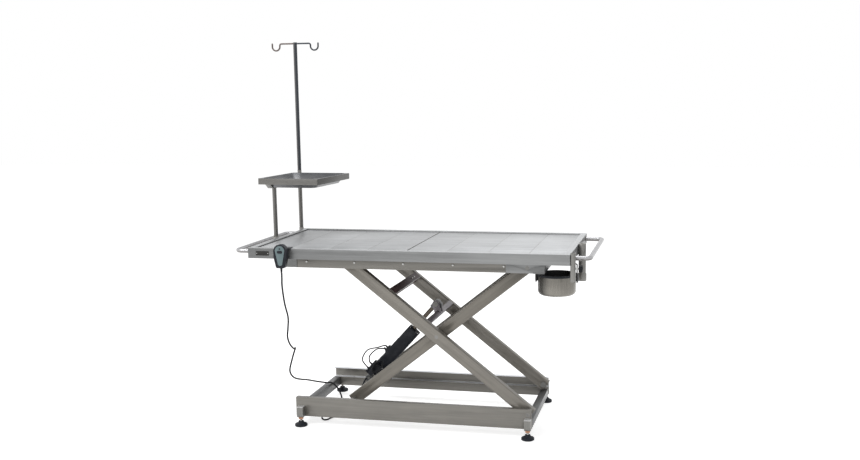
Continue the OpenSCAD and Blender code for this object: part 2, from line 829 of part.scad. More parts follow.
// Middle and corner socket at one end, as they stand at the right
module sockets(length) {
    bore = post_d + 2 * post_play;
    top = table_h + socket_rise;
    corner_top = table_h + corner_rise;
    tab_h = 26;
    color(LIGHT) difference() {
        union() {
            bar_z(post_x, -socket_y, top - length, top, socket_d);
            bar_z(post_x, -socket_y, top - length, top - length + collar_h, collar_d);
            bar_z(corner_x, -corner_y, corner_top - corner_l, corner_top, corner_d);
            translate([end_x, -socket_y - bore / 4, table_h - fascia_h + SMALL])
                cube([post_x - end_x - bore / 2, bore / 2, tab_h]);
            translate([end_x, -corner_y - bore / 4, table_h - fascia_h + SMALL])
                cube([corner_x - end_x - bore / 2, bore / 2, tab_h]);
        }
        bar_z(post_x, -socket_y, top - length - CUT, top + CUT, bore);
        bar_z(corner_x, -corner_y, corner_top - corner_l - CUT, corner_top + CUT, bore);
        bar_x(-corner_y, table_h - clamp_drop, corner_x, corner_x + corner_d,
            clamp_d + 2 * pin_play);
    }
}
module sockets_right() { sockets(socket_l); }
module sockets_left() { rotate([0, 0, 180]) sockets(socket_short); }

// Star knob and stud that clamp a post in the corner socket
module knob() {
    lobes = 5;
    start = corner_x + corner_d / 2 + knob_gap;
    tip = corner_x + post_d / 2 + SMALL;
    color(BLACK) translate([0, -corner_y, table_h - clamp_drop]) {
        bar_x(0, 0, tip, start + CUT, clamp_d);
        bar_x(0, 0, start, start + knob_t, knob_d * 0.72);
        for (i = [0:lobes - 1]) rotate([i * 360 / lobes, 0, 0])
            bar_x(0, knob_d * 0.34, start + 2, start + knob_t - 1, knob_d * 0.32);
    }
}
module knob_right() { knob(); }
module knob_left() { rotate([0, 0, 180]) knob(); }

// Frame of the tray, its origin in the front post and its front edge turned
module on_tray(z) {
    translate([-post_x, socket_y, z]) rotate([0, 0, -tray_turn]) children();
}

// Stand of the tray, two posts that carry a ring of flat bar and a cradle strap
module stand_frame() {
    foot_z = table_h - post_drop;
    strap_z = -pan_depth - SMALL;
    strap = 3;
    strap_w = 25;
    weld = 1;
    front = tray_bar_t - tray_front;
    back = tray_depth - tray_front - tray_bar_t;
    color(STEEL) difference() {
        union() {
            on_tray(tray_z) {
                translate([-tray_left, -tray_front, -tray_bar_h]) linear_extrude(tray_bar_h)
                    difference() {
                        square([tray_w, tray_depth]);
                        translate([tray_bar_t, tray_bar_t])
                            square([tray_w - 2 * tray_bar_t, tray_depth - 2 * tray_bar_t]);
                    }
                along_x(-strap_w / 2, strap_w) polygon([
                    [front - weld, -tray_bar_h], [front, -tray_bar_h],
                    [front + pan_draw, strap_z - strap], [back - pan_draw, strap_z - strap],
                    [back, -tray_bar_h], [back + weld, -tray_bar_h],
                    [back + weld, -tray_bar_h + strap], [back, -tray_bar_h + strap],
                    [back - pan_draw, strap_z], [front + pan_draw, strap_z],
                    [front, -tray_bar_h + strap], [front - weld, -tray_bar_h + strap]
                ]);
            }
            bar_z(-post_x, socket_y, foot_z, tray_z + strap_z - strap + weld, post_d);
            bar_z(-corner_x, corner_y, foot_z, pole_foot_z, post_d);
        }
        bar_z(-corner_x, corner_y, pole_foot_z - spigot_l - pin_end, pole_foot_z + CUT,
            spigot_d + 2 * pin_play);
    }
}

// Lift-out pan with sloped sides and a flat rim on the frame, in front of the rear post
module pan_form(draw, z, r) {
    w = tray_w - 2 * tray_bar_t - 2 * SMALL - 2 * draw;
    d = tray_depth - 2 * tray_bar_t - 2 * SMALL - 2 * draw;
    translate([tray_w / 2 - tray_left, tray_depth / 2 - tray_front, z])
        linear_extrude(SMALL) rounded(w, d, r);
}
module tray_pan() {
    rim_d = tray_depth - tray_bar_t + 1;
    color(LIGHT) on_tray(tray_z) difference() {
        union() {
            translate([-tray_left, -tray_front, 0]) cube([tray_w, rim_d, pan_t]);
            hull() {
                pan_form(0, 0, pan_r);
                pan_form(pan_draw, -pan_depth, pan_r - pan_draw / 2);
            }
        }
        hull() {
            pan_form(pan_t, pan_t, pan_r - pan_t);
            pan_form(pan_draw + pan_t, pan_t - pan_depth, pan_r - pan_draw / 2 - pan_t);
        }
    }
}

// Drip pole with a cross bar that ends in two open hooks
module drip_pole() {
    bend = 8;
    cap = 2;
    arc_x = hook_reach - hook_r;
    arc_z = pole_z - hook_drop + hook_r;
    leg_x = arc_x - hook_r;
    color(LIGHT) translate([-corner_x, corner_y, 0]) {
        bar_z(0, 0, pole_foot_z + SMALL, pole_z + hook_d / 2 + cap, pole_d);
        bar_z(0, 0, pole_foot_z - spigot_l, pole_foot_z + CUT, spigot_d);
        bar_x(0, pole_z, -leg_x + bend, leg_x - bend, hook_d);
        for (turn = [0, 180]) rotate([0, 0, turn]) {
            translate([leg_x - bend, 0, pole_z - bend]) rotate([90, 0, 0])
                rotate_extrude(angle = 90, $fn = ROUND) translate([bend, 0]) circle(d = hook_d);
            bar_z(leg_x, 0, arc_z, pole_z - bend, hook_d);
            translate([arc_x, 0, arc_z]) rotate([90, 180, 0])
                rotate_extrude(angle = 180, $fn = ROUND) translate([hook_r, 0]) circle(d = hook_d);
            bar_z(hook_reach, 0, arc_z, pole_z, hook_d);
            translate([hook_reach, 0, pole_z]) sphere(d = hook_d, $fn = ROUND);
        }
    }
}

// Waste pot
module pot_bowl() {
    r = pot_d / 2 - band_t;
    flat = r - pot_r;
    color(LIGHT) translate([pot_x, -pot_y, pot_z]) rotate_extrude($fn = 2 * ROUND) difference() {
        union() {
            square([flat, pot_h]);
            translate([0, pot_r]) square([r, pot_h - pot_r]);
            translate([flat, pot_r]) circle(r = pot_r, $fn = ROUND);
        }
        translate([0, pot_wall]) square([flat, pot_h]);
        translate([0, pot_r]) square([r - pot_wall, pot_h]);
        translate([flat, pot_r]) circle(r = pot_r - pot_wall, $fn = ROUND);
    }
}
module pot_trim() {
    r = pot_d / 2;
    color(BLACK) translate([pot_x, -pot_y, 0]) difference() {
        union() {
            bar_z(0, 0, lug_z, lug_z + band_h, pot_d);
            for (x = [-1, 1]) translate([x > 0 ? r - 6 : -lug_x, -lug_w / 2, lug_z - lug_h])
                cube([lug_reach + 6, lug_w, lug_h + band_h]);
        }
        bar_z(0, 0, lug_z - lug_h - CUT, lug_z + band_h + CUT, pot_d - 2 * band_t);
    }
}
// Wire through a list of points, with round corners
module wire(points, d) {
    for (i = [0:len(points) - 2]) {
        step = points[i + 1] - points[i];
        translate(points[i]) rotate([0, acos(step[2] / norm(step)), atan2(step[1], step[0])])
            cylinder(h = norm(step), d = d, $fn = ROUND / 2);
        if (i > 0) translate(points[i]) sphere(d = d, $fn = ROUND / 2);
    }
}
module pot_hooks() {
    front = pot_y + lug_w / 2 + wire_d;
    reach = lug_x - lug_reach / 2;
    under = table_h - fascia_h;
    color(LIGHT) {
        wire([
            [end_x - fold_w / 2, -front, under], [end_x - fold_w / 2, -front, under - 8],
            [pot_x + reach, -front, under - 18], [pot_x + reach, -front, hook_foot_z],
            [pot_x + reach, -pot_y + 4, hook_foot_z]
        ], wire_d);
        wire([
            [top_right - top_end_w, -front, top_foot_z + top_end_h / 2],
            [pot_x - reach, -front, top_foot_z + top_end_h / 2],
            [pot_x - reach, -front, hook_foot_z], [pot_x - reach, -pot_y + 4, hook_foot_z]
        ], wire_d);
    }
}

// Handset outline, round at the top and narrower at the foot
module handset_outline(inset) {
    offset(delta = -inset) hull() {
        translate([0, handset_l - handset_w / 2]) circle(d = handset_w, $fn = ROUND);
        translate([0, handset_l * 0.45]) square([handset_w, 1], center = true);
        translate([0, 8]) rounded(handset_foot_w, 16, 7);
    }
}
module handset_body() {
    key_r = rocker_w / 2 + SMALL;
    color(BLACK) difference() {
        union() {
            translate([-handset_x, 0, handset_z]) along_y(handset_y - handset_t + face_t,
                handset_t - face_t) handset_outline(0);
            bar_z(-handset_x, relief_y, handset_z - relief_l, handset_z + 2, relief_d);
            translate([-handset_x + strap_x - strap_w / 2, handset_y - 2, table_h + SMALL])
                cube([strap_w, -handset_y - side_y + rim_w + 2 + strap_t + SMALL, strap_t]);
            translate([-handset_x + strap_x - strap_w / 2, -side_y + rim_w + SMALL,
                deck_z + SMALL]) cube([strap_w, strap_t, table_h - deck_z + strap_t]);
            translate([-handset_x - strap_w / 2, handset_y - 2, handset_z + 12])
                cube([strap_w, handset_gap + 2 - SMALL, 20]);
        }
        translate([-handset_x, handset_y - handset_t, handset_top - rocker_drop])
            cube([2 * key_r, 12, rocker_h + 2 * SMALL], center = true);
    }
}
module handset_face() {
    color(PALE) difference() {
        translate([-handset_x, 0, handset_z]) along_y(handset_y - handset_t, face_t)
            handset_outline(face_inset);
        translate([-handset_x, handset_y - handset_t, handset_top - rocker_drop])
            cube([rocker_w + 2 * SMALL, 12, rocker_h + 2 * SMALL], center = true);
    }
}
// Rocker key on an upright pin behind its middle
module handset_rocker() {
    proud = 1.2;
    depth = 4;
    pin_y = 2.1;
    pin = 3.2;
    reach = rocker_h / 2 - 1;
    color(BLACK) translate([-handset_x, handset_y - handset_t, handset_top - rocker_drop]) {
        along_y(-proud, depth) rounded(rocker_w, rocker_h, rocker_h / 2 - 0.1);
        bar_z(0, pin_y, -reach, reach, pin);
    }
}

// Lift drive, lower end first
module drive_body() {
    bore = rod_d + 2 * rod_play;
    gear_l = drive_start - gear_start;
    color(BLACK) on_drive() difference() {
        union() {
            translate([0, 0, -drive_sag]) {
                along_x(drive_start, drive_l - drive_start) rounded(drive_w, drive_h, drive_r);
                along_x(gear_start, gear_l) rounded(drive_w + 4, drive_h + 4, drive_r);
            }
            bar_x(motor_y, 0, gear_start + 6, drive_start, motor_d + 2);
            translate([gear_start + 6, 0, -drive_w / 2]) cube([gear_l - 6, motor_y, drive_w]);
            bar_x(motor_y, 0, drive_start, drive_start + motor_l, motor_d);
            translate([gear_start - 6, -drive_w / 2 - 20, -4]) cube([64, 22, 34]);
        }
        bar_x(0, 0, rod_start - rod_free, drive_l + CUT, bore);
    }
}
module drive_clevis() {
    r = 13;
    color(LIGHT) on_drive() difference() {
        union() {
            bar_y(0, 0, -eye_w / 2, eye_w / 2, 2 * r);
            along_x(0, gear_start) rounded(eye_w, 2 * r - 2, 3);
        }
        bar_y(0, 0, -eye_w, eye_w, foot_pin_d + 2 * pin_play);
    }
}
module drive_rod() {
    color(LIGHT) on_drive() bar_x(0, 0, rod_start, drive_span - pin_d, rod_d);
}
// Rod eye with a slot that takes up the travel of the open pivot
module rod_eye() {
    half_x = pin_d / 2 + eye_slack;
    socket_l = (pin_d + rod_d) / 2;
    socket_h = rod_d + 8;
    color(STEEL) on_drive() translate([drive_span, 0, 0]) difference() {
        union() {
            bar_y(0, 0, -eye_w / 2, eye_w / 2, 2 * (half_x + eye_wall));
            bar_y(0, -eye_slot, -eye_w / 2, eye_w / 2, 2 * (half_x + eye_wall));
            translate([-half_x - eye_wall, -eye_w / 2, -eye_slot])
                cube([2 * (half_x + eye_wall), eye_w, eye_slot]);
            translate([-pin_d - rod_d / 2, -eye_w / 2, -socket_h / 2])
                cube([socket_l, eye_w, socket_h]);
        }
        bar_y(0, 0, -eye_w, eye_w, 2 * half_x);
        bar_y(0, -eye_slot, -eye_w, eye_w, 2 * half_x);
        translate([-half_x, -eye_w, -eye_slot]) cube([2 * half_x, 2 * eye_w, eye_slot]);
        bar_x(0, 0, -drive_span, -pin_d, rod_d);
    }
}

// Smooth curve through hand-picked points
function between(a, b, c, d, t) = 0.5 * (2 * b + (c - a) * t + (2 * a - 5 * b + 4 * c - d) * t * t
    + (3 * b - a - 3 * c + d) * t * t * t);
function curve(p, steps) = [
    for (i = [0:len(p) - 2]) for (j = [0:steps - 1])
        between(p[max(i - 1, 0)], p[i], p[i + 1], p[min(i + 2, len(p) - 1)], j / steps),
    p[len(p) - 1]
];
function unit(v) = v / norm(v);
function tangents(c) = [
    for (i = [0:len(c) - 1]) unit(c[min(i + 1, len(c) - 1)] - c[max(i - 1, 0)])
];
// Carries one side direction along the curve without twist
function carried(t, i, u) = i == len(t) ? [] : let (v = unit(u - (u * t[i]) * t[i]))
    concat([v], carried(t, i + 1, v));
module cord_tube(points, steps, first) {
    sides = 8;
    c = curve(points, steps);
    t = tangents(c);
    u = carried(t, 0, first);
    rings = [
        for (i = [0:len(c) - 1]) for (k = [0:sides - 1])
            c[i] + cord_d / 2 * (cos(360 * k / sides) * u[i] + sin(360 * k / sides) * cross(t[i], u[i]))
    ];
    last = sides * (len(c) - 1);
    polyhedron(rings, concat(
        [for (k = [1:sides - 2]) [0, k, k + 1]],
        [for (k = [1:sides - 2]) [last, last + k + 1, last + k]],
        [for (i = [0:len(c) - 2]) for (k = [0:sides - 1]) let (a = i * sides + k,
            b = i * sides + (k + 1) % sides) [a, a + sides, b]],
        [for (i = [0:len(c) - 2]) for (k = [0:sides - 1]) let (a = i * sides + k,
            b = i * sides + (k + 1) % sides) [b, a + sides, b + sides]]
    ));
}

// Route of the handset's cord, from the strain relief down
cord_top = handset_z - relief_l - SMALL;
upper_route = [
    [-500, relief_y, cord_top], [-500, relief_y, cord_top - 25], [-500, -333, 600],
    [-500, -315, 529], [-500, -284, 464], [-500, -289, 420], [-500, -297, 385],
    [-500, -276, 350], [-500, -238, 322], [-500, -226.7, 320.1]
];
// Route from the joint behind the front rail over the left cross tube and along the floor
lower_route = [
    [-500, -226, 320], [-501, -216, 318], [-508, -214, 300], [-508, -238, 276],
    [-508, -266, 240], [-506, -256, 214], [-503, -224, 192], [-500, -164, 170],
    [-500, -104, 152], [-500, -8, 119], [-498, 60, 96], [-480, 90, 85],
    [-466, 106, 80.8], [-446, 118, 60], [-424, 112, 24], [-418, 90, 3], [-420, 0, 3],
    [-424, -100, 3], [-419, -150, 3], [-402, -178, 3], [-386, -176, 3], [-378, -150, 3],
    [-350, -90, 3], [-310, -48, 5], [-286, -40, 20], [-281, -40, 46], [-281, -40, 55.4]
];
// Last stretch up to the drive, carried by it
tail_route = [
    [-281, -40, 56], [-281, -40, 70], [-278, -38, 100], [-268, -34, 130], [-256, -33, 152]
];
module cord_upper() { color(BLACK) cord_tube(upper_route, 3, [1, 0, 0]); }
module cord_lower() { color(BLACK) cord_tube(lower_route, 2, [1, 0, 0]); }
module cord_tail() { color(BLACK) cord_tube(tail_route, 2, [1, 0, 0]); }

// Leads between the drive's control box and its motor
module drive_leads() {
    color(BLACK) on_drive() {
        cord_tube([[60, -30, 30.1], [60, -30, 34], [60, -30, 42], [80, -30, 60], [120, -26, 58],
            [140, -20, 40], [140, -18, 22.5]], 3, [1, 0, 0]);
        cord_tube([[36, -30, 30.1], [36, -30, 34], [36, -30, 40], [46, -30, 74], [90, -24, 84],
            [128, -18, 60], [160, -14, 40], [160, -14, 22.5]], 3, [1, 0, 0]);
    }
}

base_rail_front();
base_rail_rear();
base_cross_left();
base_cross_right();
foot_brackets();
foot_nuts();
base_pivots();
foot_front_left();
foot_front_right();
foot_rear_left();
foot_rear_right();
arm_outer_front();
arm_outer_rear();
outer_tie();
clevis_tie();
outer_pins();
roller_upper_front();
roller_upper_rear();
arm_inner_front();
arm_inner_rear();
inner_tie();
inner_pins();
roller_lower_front();
roller_lower_rear();
fascia_front();
fascia_rear();
fascia_left();
fascia_right();
top_rail_front();
top_rail_rear();
top_cross_left();
top_cross_right();
deck_bearers();
pivot_plates();
top_pivots();
handle_left();
handle_right();
sockets_left();
sockets_right();
pot_hooks();
deck_left();
deck_right();
stand_frame();
tray_pan();
drip_pole();
knob_left();
knob_right();
pot_bowl();
pot_trim();
handset_body();
handset_face();
handset_rocker();
drive_body();
drive_clevis();
drive_leads();
drive_rod();
rod_eye();
cord_upper();
cord_lower();
cord_tail();
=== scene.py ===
"""Looks of the veterinary surgery table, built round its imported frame.

The camera, the studio and the finishes are in metres, and the pieces are given in millimetres.
X runs along the table, Y runs to its far side and Z is up.
"""

import json
import logging
import math
from contextlib import contextmanager
from dataclasses import dataclass, field
from enum import Enum
from functools import partialmethod
from typing import Callable, ClassVar, Iterator, Sequence

import bmesh
import bpy
from mathutils import Matrix, Vector

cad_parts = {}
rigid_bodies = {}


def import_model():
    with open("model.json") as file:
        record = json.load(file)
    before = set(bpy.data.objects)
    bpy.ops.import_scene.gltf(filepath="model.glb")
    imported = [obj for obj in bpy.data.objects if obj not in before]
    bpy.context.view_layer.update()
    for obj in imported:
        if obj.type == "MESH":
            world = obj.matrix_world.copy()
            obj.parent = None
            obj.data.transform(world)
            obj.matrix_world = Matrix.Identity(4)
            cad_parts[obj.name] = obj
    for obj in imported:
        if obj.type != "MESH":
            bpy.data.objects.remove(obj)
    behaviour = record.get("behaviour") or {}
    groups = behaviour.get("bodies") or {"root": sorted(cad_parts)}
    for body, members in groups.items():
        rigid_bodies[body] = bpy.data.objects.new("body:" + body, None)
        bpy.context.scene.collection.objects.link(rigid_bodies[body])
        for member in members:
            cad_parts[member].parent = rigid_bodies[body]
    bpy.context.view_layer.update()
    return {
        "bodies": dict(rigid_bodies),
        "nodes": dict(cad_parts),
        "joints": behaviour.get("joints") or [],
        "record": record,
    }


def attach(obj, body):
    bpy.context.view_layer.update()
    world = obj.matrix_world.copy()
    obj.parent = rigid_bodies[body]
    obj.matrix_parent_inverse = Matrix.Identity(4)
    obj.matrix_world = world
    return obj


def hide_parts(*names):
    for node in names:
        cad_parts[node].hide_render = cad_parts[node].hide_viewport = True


LOG = logging.getLogger("surgery_table")
MM = 0.001
RIPPLE = 2
RIPPLE_DIP = 0.82
MERGED = 2e-6
FLAT = 0.6
X, Y, Z = range(3)
Colour = tuple[float, float, float]
Point = Sequence[float]
Rings = Sequence[tuple[float, float]]
Test = Callable[[Vector, Vector], bool]
# A ramp of painted light and shade along an axis: the axis, where it starts and ends, and the tone
# at each end.
PaintedLightRamp = tuple[str, float, float, float, float]


def mm(*values: float) -> Vector:
    """A point given in millimetres."""
    return Vector(values) * MM


def at(*values: float) -> Matrix:
    """Frame at a point given in millimetres."""
    return Matrix.Translation(mm(*values))


def leaning(origin: Vector, angle: float) -> Matrix:
    """Frame at a point, its X raised by an angle in degrees."""
    return Matrix.Translation(origin) @ Matrix.Rotation(math.radians(-angle), 4, "Y")


def facing(place: Vector, outward: Point) -> Matrix:
    """Frame at a place, its Z pointing outward."""
    turn = Vector((0, 0, 1)).rotation_difference(Vector(outward))
    return Matrix.Translation(place) @ turn.to_matrix().to_4x4()


def circle(count: int) -> list[tuple[float, float]]:
    """Cosine and sine of evenly spread turns."""
    turns = (math.tau * k / count for k in range(count))
    return [(math.cos(turn), math.sin(turn)) for turn in turns]


def upright(x: float, y: float, foot: int, top: float) -> list[Vector]:
    """Points of an upright seam, one for each ripple of its bead."""
    return [mm(x, y, z) for z in range(foot, int(top), RIPPLE)]


def linked(name: str, data: bpy.types.ID) -> bpy.types.Object:
    """A new object in the scene.

    Args:
        name: Name of the object.
        data: Its mesh, curve, camera or light.

    Returns:
        The object.
    """
    obj = bpy.data.objects.new(name, data)
    bpy.context.scene.collection.objects.link(obj)
    return obj


class Wire:
    """One socket of a shader, with arithmetic on it."""

    def __init__(self, graph: "Graph", socket: bpy.types.NodeSocket) -> None:
        """Keeps the socket and the graph that it is in."""
        self.graph = graph
        self.socket = socket

    def _maths(self, operation: str, other: "Wire | float", first: bool = True) -> "Wire":
        """Adds a Math node for this value and another, with this value first or last."""
        values = (self, other) if first else (other, self)
        return self.graph.node("ShaderNodeMath", {"operation": operation}, dict(enumerate(values)))

    __add__ = __radd__ = partialmethod(_maths, "ADD")
    __sub__ = partialmethod(_maths, "SUBTRACT")
    __rsub__ = partialmethod(_maths, "SUBTRACT", first=False)
    __mul__ = __rmul__ = partialmethod(_maths, "MULTIPLY")

    def over(self, low: float, high: float) -> "Wire":
        """Share of the way from low to high, kept between 0 and 1.

        Args:
            low: Value at which the share is 0.
            high: Value at which it is 1.

        Returns:
            The share.
        """
        return self.graph.node(
            "ShaderNodeMapRange", {"clamp": True}, {0: self, 1: low, 2: high, 3: 0.0, 4: 1.0}
        )


class Graph:
    """The nodes of one material."""

    def __init__(self, material: bpy.types.Material) -> None:
        """Empties the material and starts on its nodes.

        Args:
            material: The material, or a world.
        """
        material.use_nodes = True
        self.tree = material.node_tree
        self.tree.nodes.clear()

    def node(
        self,
        kind: str,
        settings: dict[str, object] | None = None,
        inputs: dict[str | int, object] | None = None,
        output: str | int = 0,
    ) -> Wire:
        """Adds a node, sets it up and links it.

        Args:
            kind: Type of the node.
            settings: Its own settings, and "stops" for a ramp's positions and colours.
            inputs: Values or wires of its sockets.
            output: The socket that the result is read from.

        Returns:
            The wire at that socket.
        """
        made = self.tree.nodes.new(kind)
        for key, value in (settings or {}).items():
            if key == "stops":
                self._set_stops(made.color_ramp, value)
            else:
                setattr(made, key, value)
        for key, value in (inputs or {}).items():
            if isinstance(value, Wire):
                self.tree.links.new(value.socket, made.inputs[key])
            else:
                made.inputs[key].default_value = value
        return Wire(self, made.outputs[output])

    @staticmethod
    def _set_stops(ramp: bpy.types.ColorRamp, stops: Sequence[tuple[float, Colour]]) -> None:
        """Sets a ramp's positions and colours.

        Args:
            ramp: The ramp.
            stops: Pairs of position and colour.
        """
        while len(ramp.elements) < len(stops):
            ramp.elements.new(1.0)
        for element, (position, colour) in zip(ramp.elements, stops):
            element.position = position
            element.color = (*colour, 1.0)

    def noise(self, size: float | Point, detail: float = 2.0, tilt: float = 0.0) -> Wire:
        """Noise from about 0.3 to 0.7.

        Args:
            size: Size of its grains, or their size along each axis.
            detail: Layers of finer grains.
            tilt: Turn of the grains about Y, in degrees.

        Returns:
            The noise.
        """
        spread = (size,) * 3 if isinstance(size, float) else tuple(size)
        turn = (0, math.radians(tilt), 0)
        inputs = {"Vector": self.coordinates(), "Rotation": turn, "Scale": spread}
        place = self.node("ShaderNodeMapping", {"vector_type": "TEXTURE"}, inputs)
        inputs = {"Vector": place, "Scale": 1.0, "Detail": detail, "Roughness": 0.55}
        return self.node("ShaderNodeTexNoise", {"noise_dimensions": "3D"}, inputs)

    def coordinates(self) -> Wire:
        """Object coordinates."""
        return self.node("ShaderNodeTexCoord", output="Object")

    def axis(self, name: str) -> Wire:
        """One of the object coordinates."""
        return self.node("ShaderNodeSeparateXYZ", {}, {0: self.coordinates()}, output=name)

    def scaled(self, colour: Colour | Wire, tone: Wire) -> Wire:
        """A colour made lighter or darker by a value."""
        return self.node("ShaderNodeVectorMath", {"operation": "SCALE"}, {0: colour, "Scale": tone})

    def mixed(self, first: Colour | Wire, second: Colour | Wire, share: Wire) -> Wire:
        """Two colours mixed by the share of the second.

        Args:
            first: One colour.
            second: The other colour.
            share: Share of the second, from 0 to 1.

        Returns:
            The mixed colour.
        """
        ends = [end if isinstance(end, Wire) else (*end, 1.0) for end in (first, second)]
        inputs = {0: share, 6: ends[0], 7: ends[1]}
        return self.node("ShaderNodeMix", {"data_type": "RGBA"}, inputs, output=2)

    def bump(self, height: Wire, depth: float, strength: float = 1.0) -> Wire:
        """Normal of a surface raised by a height, a share of the depth."""
        inputs = {"Height": height, "Distance": depth, "Strength": strength}
        return self.node("ShaderNodeBump", {}, inputs)

    def surface(self, **sockets: object) -> None:
        """Ends the material in one Principled shader, with _ for a space in a socket's name."""
        inputs = {name.replace("_", " "): value for name, value in sockets.items()}
        self.end(self.node("ShaderNodeBsdfPrincipled", {}, inputs))

    def end(self, shader: Wire, kind: str = "ShaderNodeOutputMaterial") -> None:
        """Links a shader to the output."""
        output = self.tree.nodes.new(kind)
        self.tree.links.new(shader.socket, output.inputs["Surface"])


@dataclass(frozen=True)
class Finish:
    """A surface finish that the pieces share."""

    name: str
    slot: str
    colour: Colour

    def paint(self, graph: Graph) -> None:
        """Draws the finish into a material."""
        raise NotImplementedError

    def material(self) -> bpy.types.Material:
        """The finish's material, made at its first use.

        Returns:
            The material.
        """
        found = bpy.data.materials.get(self.name)
        if found is None:
            found = bpy.data.materials.new(self.name)
            found.diffuse_color = (*self.colour, 1.0)
            self.paint(Graph(found))
        return found


class Grain(Enum):
    """Direction that a sheet was brushed in, as the axis that the lines run along."""

    ALONG = 0
    ACROSS = 1
    UPRIGHT = 2

    def span(self, length: float, width: float) -> Point:
        """Size along X, Y and Z of a line with a length and a width."""
        return [length if axis == self.value else width for axis in range(3)]


@dataclass(frozen=True)
class BrushedSteel(Finish):
    """Stainless steel sheet or tube with a brushed grain, faint streaks and clouds, and painted
    light and shade.
    """

    grain: Grain = Grain.ALONG
    tilt: float = 0.0
    streaks: float = 0.10
    clouds: float = 0.16
    metallic: float = 0.35
    roughness: float = 0.36
    # Painted light and shade: a second colour below a level, so that faces, grooves and floors
    # below it look more shaded or more lit than what lies above.
    painted_light_low_colour: Colour | None = None
    painted_light_low_level: tuple[float, float] = (0.0, 0.0)
    # Painted light and shade: ramps that darken or lighten the colour along the axes.
    painted_light_ramps: Sequence[PaintedLightRamp] = ()
    # Painted highlight: a lit strip about one level and a lit edge above another, in lit_colour.
    lit_level: float = 0.0
    lit_from: float = 9.0
    streak_size: ClassVar[tuple[float, float]] = (0.22, 0.007)
    line_size: ClassVar[tuple[float, float]] = (0.030, 0.0006)
    cloud_size: ClassVar[Point] = (0.16, 0.12, 0.09)
    lit_colour: ClassVar[Colour] = (0.85, 0.87, 0.90)
    lit_half: ClassVar[float] = 0.0005
    fade: ClassVar[float] = 0.0004

    def paint(self, graph: Graph) -> None:
        """Draws streaks, fine lines and clouds, then the painted light and shade: a colour below a
        level, ramps along each axis and a painted lit strip.

        Args:
            graph: The nodes of the material.
        """
        streak = graph.noise(self.grain.span(*self.streak_size), 3.0, self.tilt)
        line = graph.noise(self.grain.span(*self.line_size), 2.0, self.tilt)
        cloud = graph.noise(self.cloud_size, 3.0)
        tone = (
            1.0
            + (streak - 0.5) * (4 * self.streaks)
            + (line - 0.5) * (1.2 * self.streaks)
            + (cloud - 0.5) * (2 * self.clouds)
        )
        shade: Colour | Wire = self.colour
        # Painted light and shade: the colour below a level is blended into the colour above it.
        if self.painted_light_low_colour is not None:
            shade = graph.mixed(self.painted_light_low_colour, shade, graph.axis("Z").over(*self.painted_light_low_level))
        # Painted shade and light: the tone is ramped along the axes.
        for axis, low, high, first, last in self.painted_light_ramps:
            tone = tone * (first + graph.axis(axis).over(low, high) * (last - first))
        # Painted highlight: a lit strip and a lit top edge in lit_colour.
        if self.lit_level:
            level, fade = graph.axis("Z"), self.fade
            low, high = self.lit_level - self.lit_half, self.lit_level + self.lit_half
            track = level.over(low - fade, low) - level.over(high, high + fade)
            edge = level.over(self.lit_from, self.lit_from + fade)
            shade = graph.mixed(shade, self.lit_colour, track + edge)
        graph.surface(
            Base_Color=graph.scaled(shade, tone),
            Metallic=self.metallic,
            Roughness=self.roughness + (line - 0.5) * 0.22 + (cloud - 0.5) * 0.20,
            Normal=graph.bump(line, 0.00012, 0.5),
        )


@dataclass(frozen=True)
class PolishedSteel(Finish):
    """Drawn and polished tube or rod with faint rubbing marks, and painted highlight and shade
    bands across it.
    """

    metallic: float = 0.9
    roughness: float = 0.24
    # Painted highlight, shade and reflection: colour bands across the tube along this axis, over
    # this span.
    painted_light_axis: str = "Z"
    painted_light_span: tuple[float, float] = (0.0, 0.0)
    painted_light_bands: Sequence[tuple[float, Colour]] = ()

    def paint(self, graph: Graph) -> None:
        """Draws faint marks, handling haze and the painted highlight and shade bands across a tube.

        Args:
            graph: The nodes of the material.
        """
        haze = graph.noise(0.05, 3.0)
        mark = graph.noise((0.004, 0.004, 0.0007))
        shade: Colour | Wire = self.colour
        # Painted highlight, shade and reflection across the tube.
        if self.painted_light_bands:
            across = graph.axis(self.painted_light_axis).over(*self.painted_light_span)
            shade = graph.node("ShaderNodeValToRGB", {"stops": self.painted_light_bands}, {0: across})
        graph.surface(
            Base_Color=graph.scaled(shade, 1.0 + (haze - 0.5) * 0.20),
            Metallic=self.metallic,
            Roughness=self.roughness + (haze - 0.5) * 0.26 + (mark - 0.5) * 0.10,
            Specular_IOR_Level=0.2,
            Normal=graph.bump(mark, 0.00008, 0.3),
        )


@dataclass(frozen=True)
class MouldedPlastic(Finish):
    """Moulded plastic with an eroded grain, rubbed paler in places."""

    rubbed: Colour = (0.022, 0.024, 0.03)
    roughness: float = 0.46
    grain_size: float = 0.0009
    gloss: float = 0.22

    def paint(self, graph: Graph) -> None:
        """Draws the grain and the rubbed places.

        Args:
            graph: The nodes of the material.
        """
        grain = graph.noise(self.grain_size)
        rub = graph.noise((0.045, 0.03, 0.03), 4.0).over(0.45, 0.72)
        graph.surface(
            Base_Color=graph.mixed(self.colour, self.rubbed, rub),
            Roughness=self.roughness + (grain - 0.5) * 0.25 - rub * 0.08,
            Specular_IOR_Level=self.gloss,
            Normal=graph.bump(grain, 0.00015, 0.6),
        )


@dataclass(frozen=True)
class CordJacket(Finish):
    """Extruded jacket of a cord, with a faint dust film."""

    def paint(self, graph: Graph) -> None:
        """Draws the film and the drawing lines.

        Args:
            graph: The nodes of the material.
        """
        film = graph.noise(0.03, 3.0)
        line = graph.noise((0.0006, 0.0006, 0.01), 1.0)
        graph.surface(
            Base_Color=graph.scaled(self.colour, 0.75 + film * 0.5),
            Roughness=0.42 + (film - 0.5) * 0.3,
            Specular_IOR_Level=0.2,
            Normal=graph.bump(line, 0.0001, 0.4),
        )


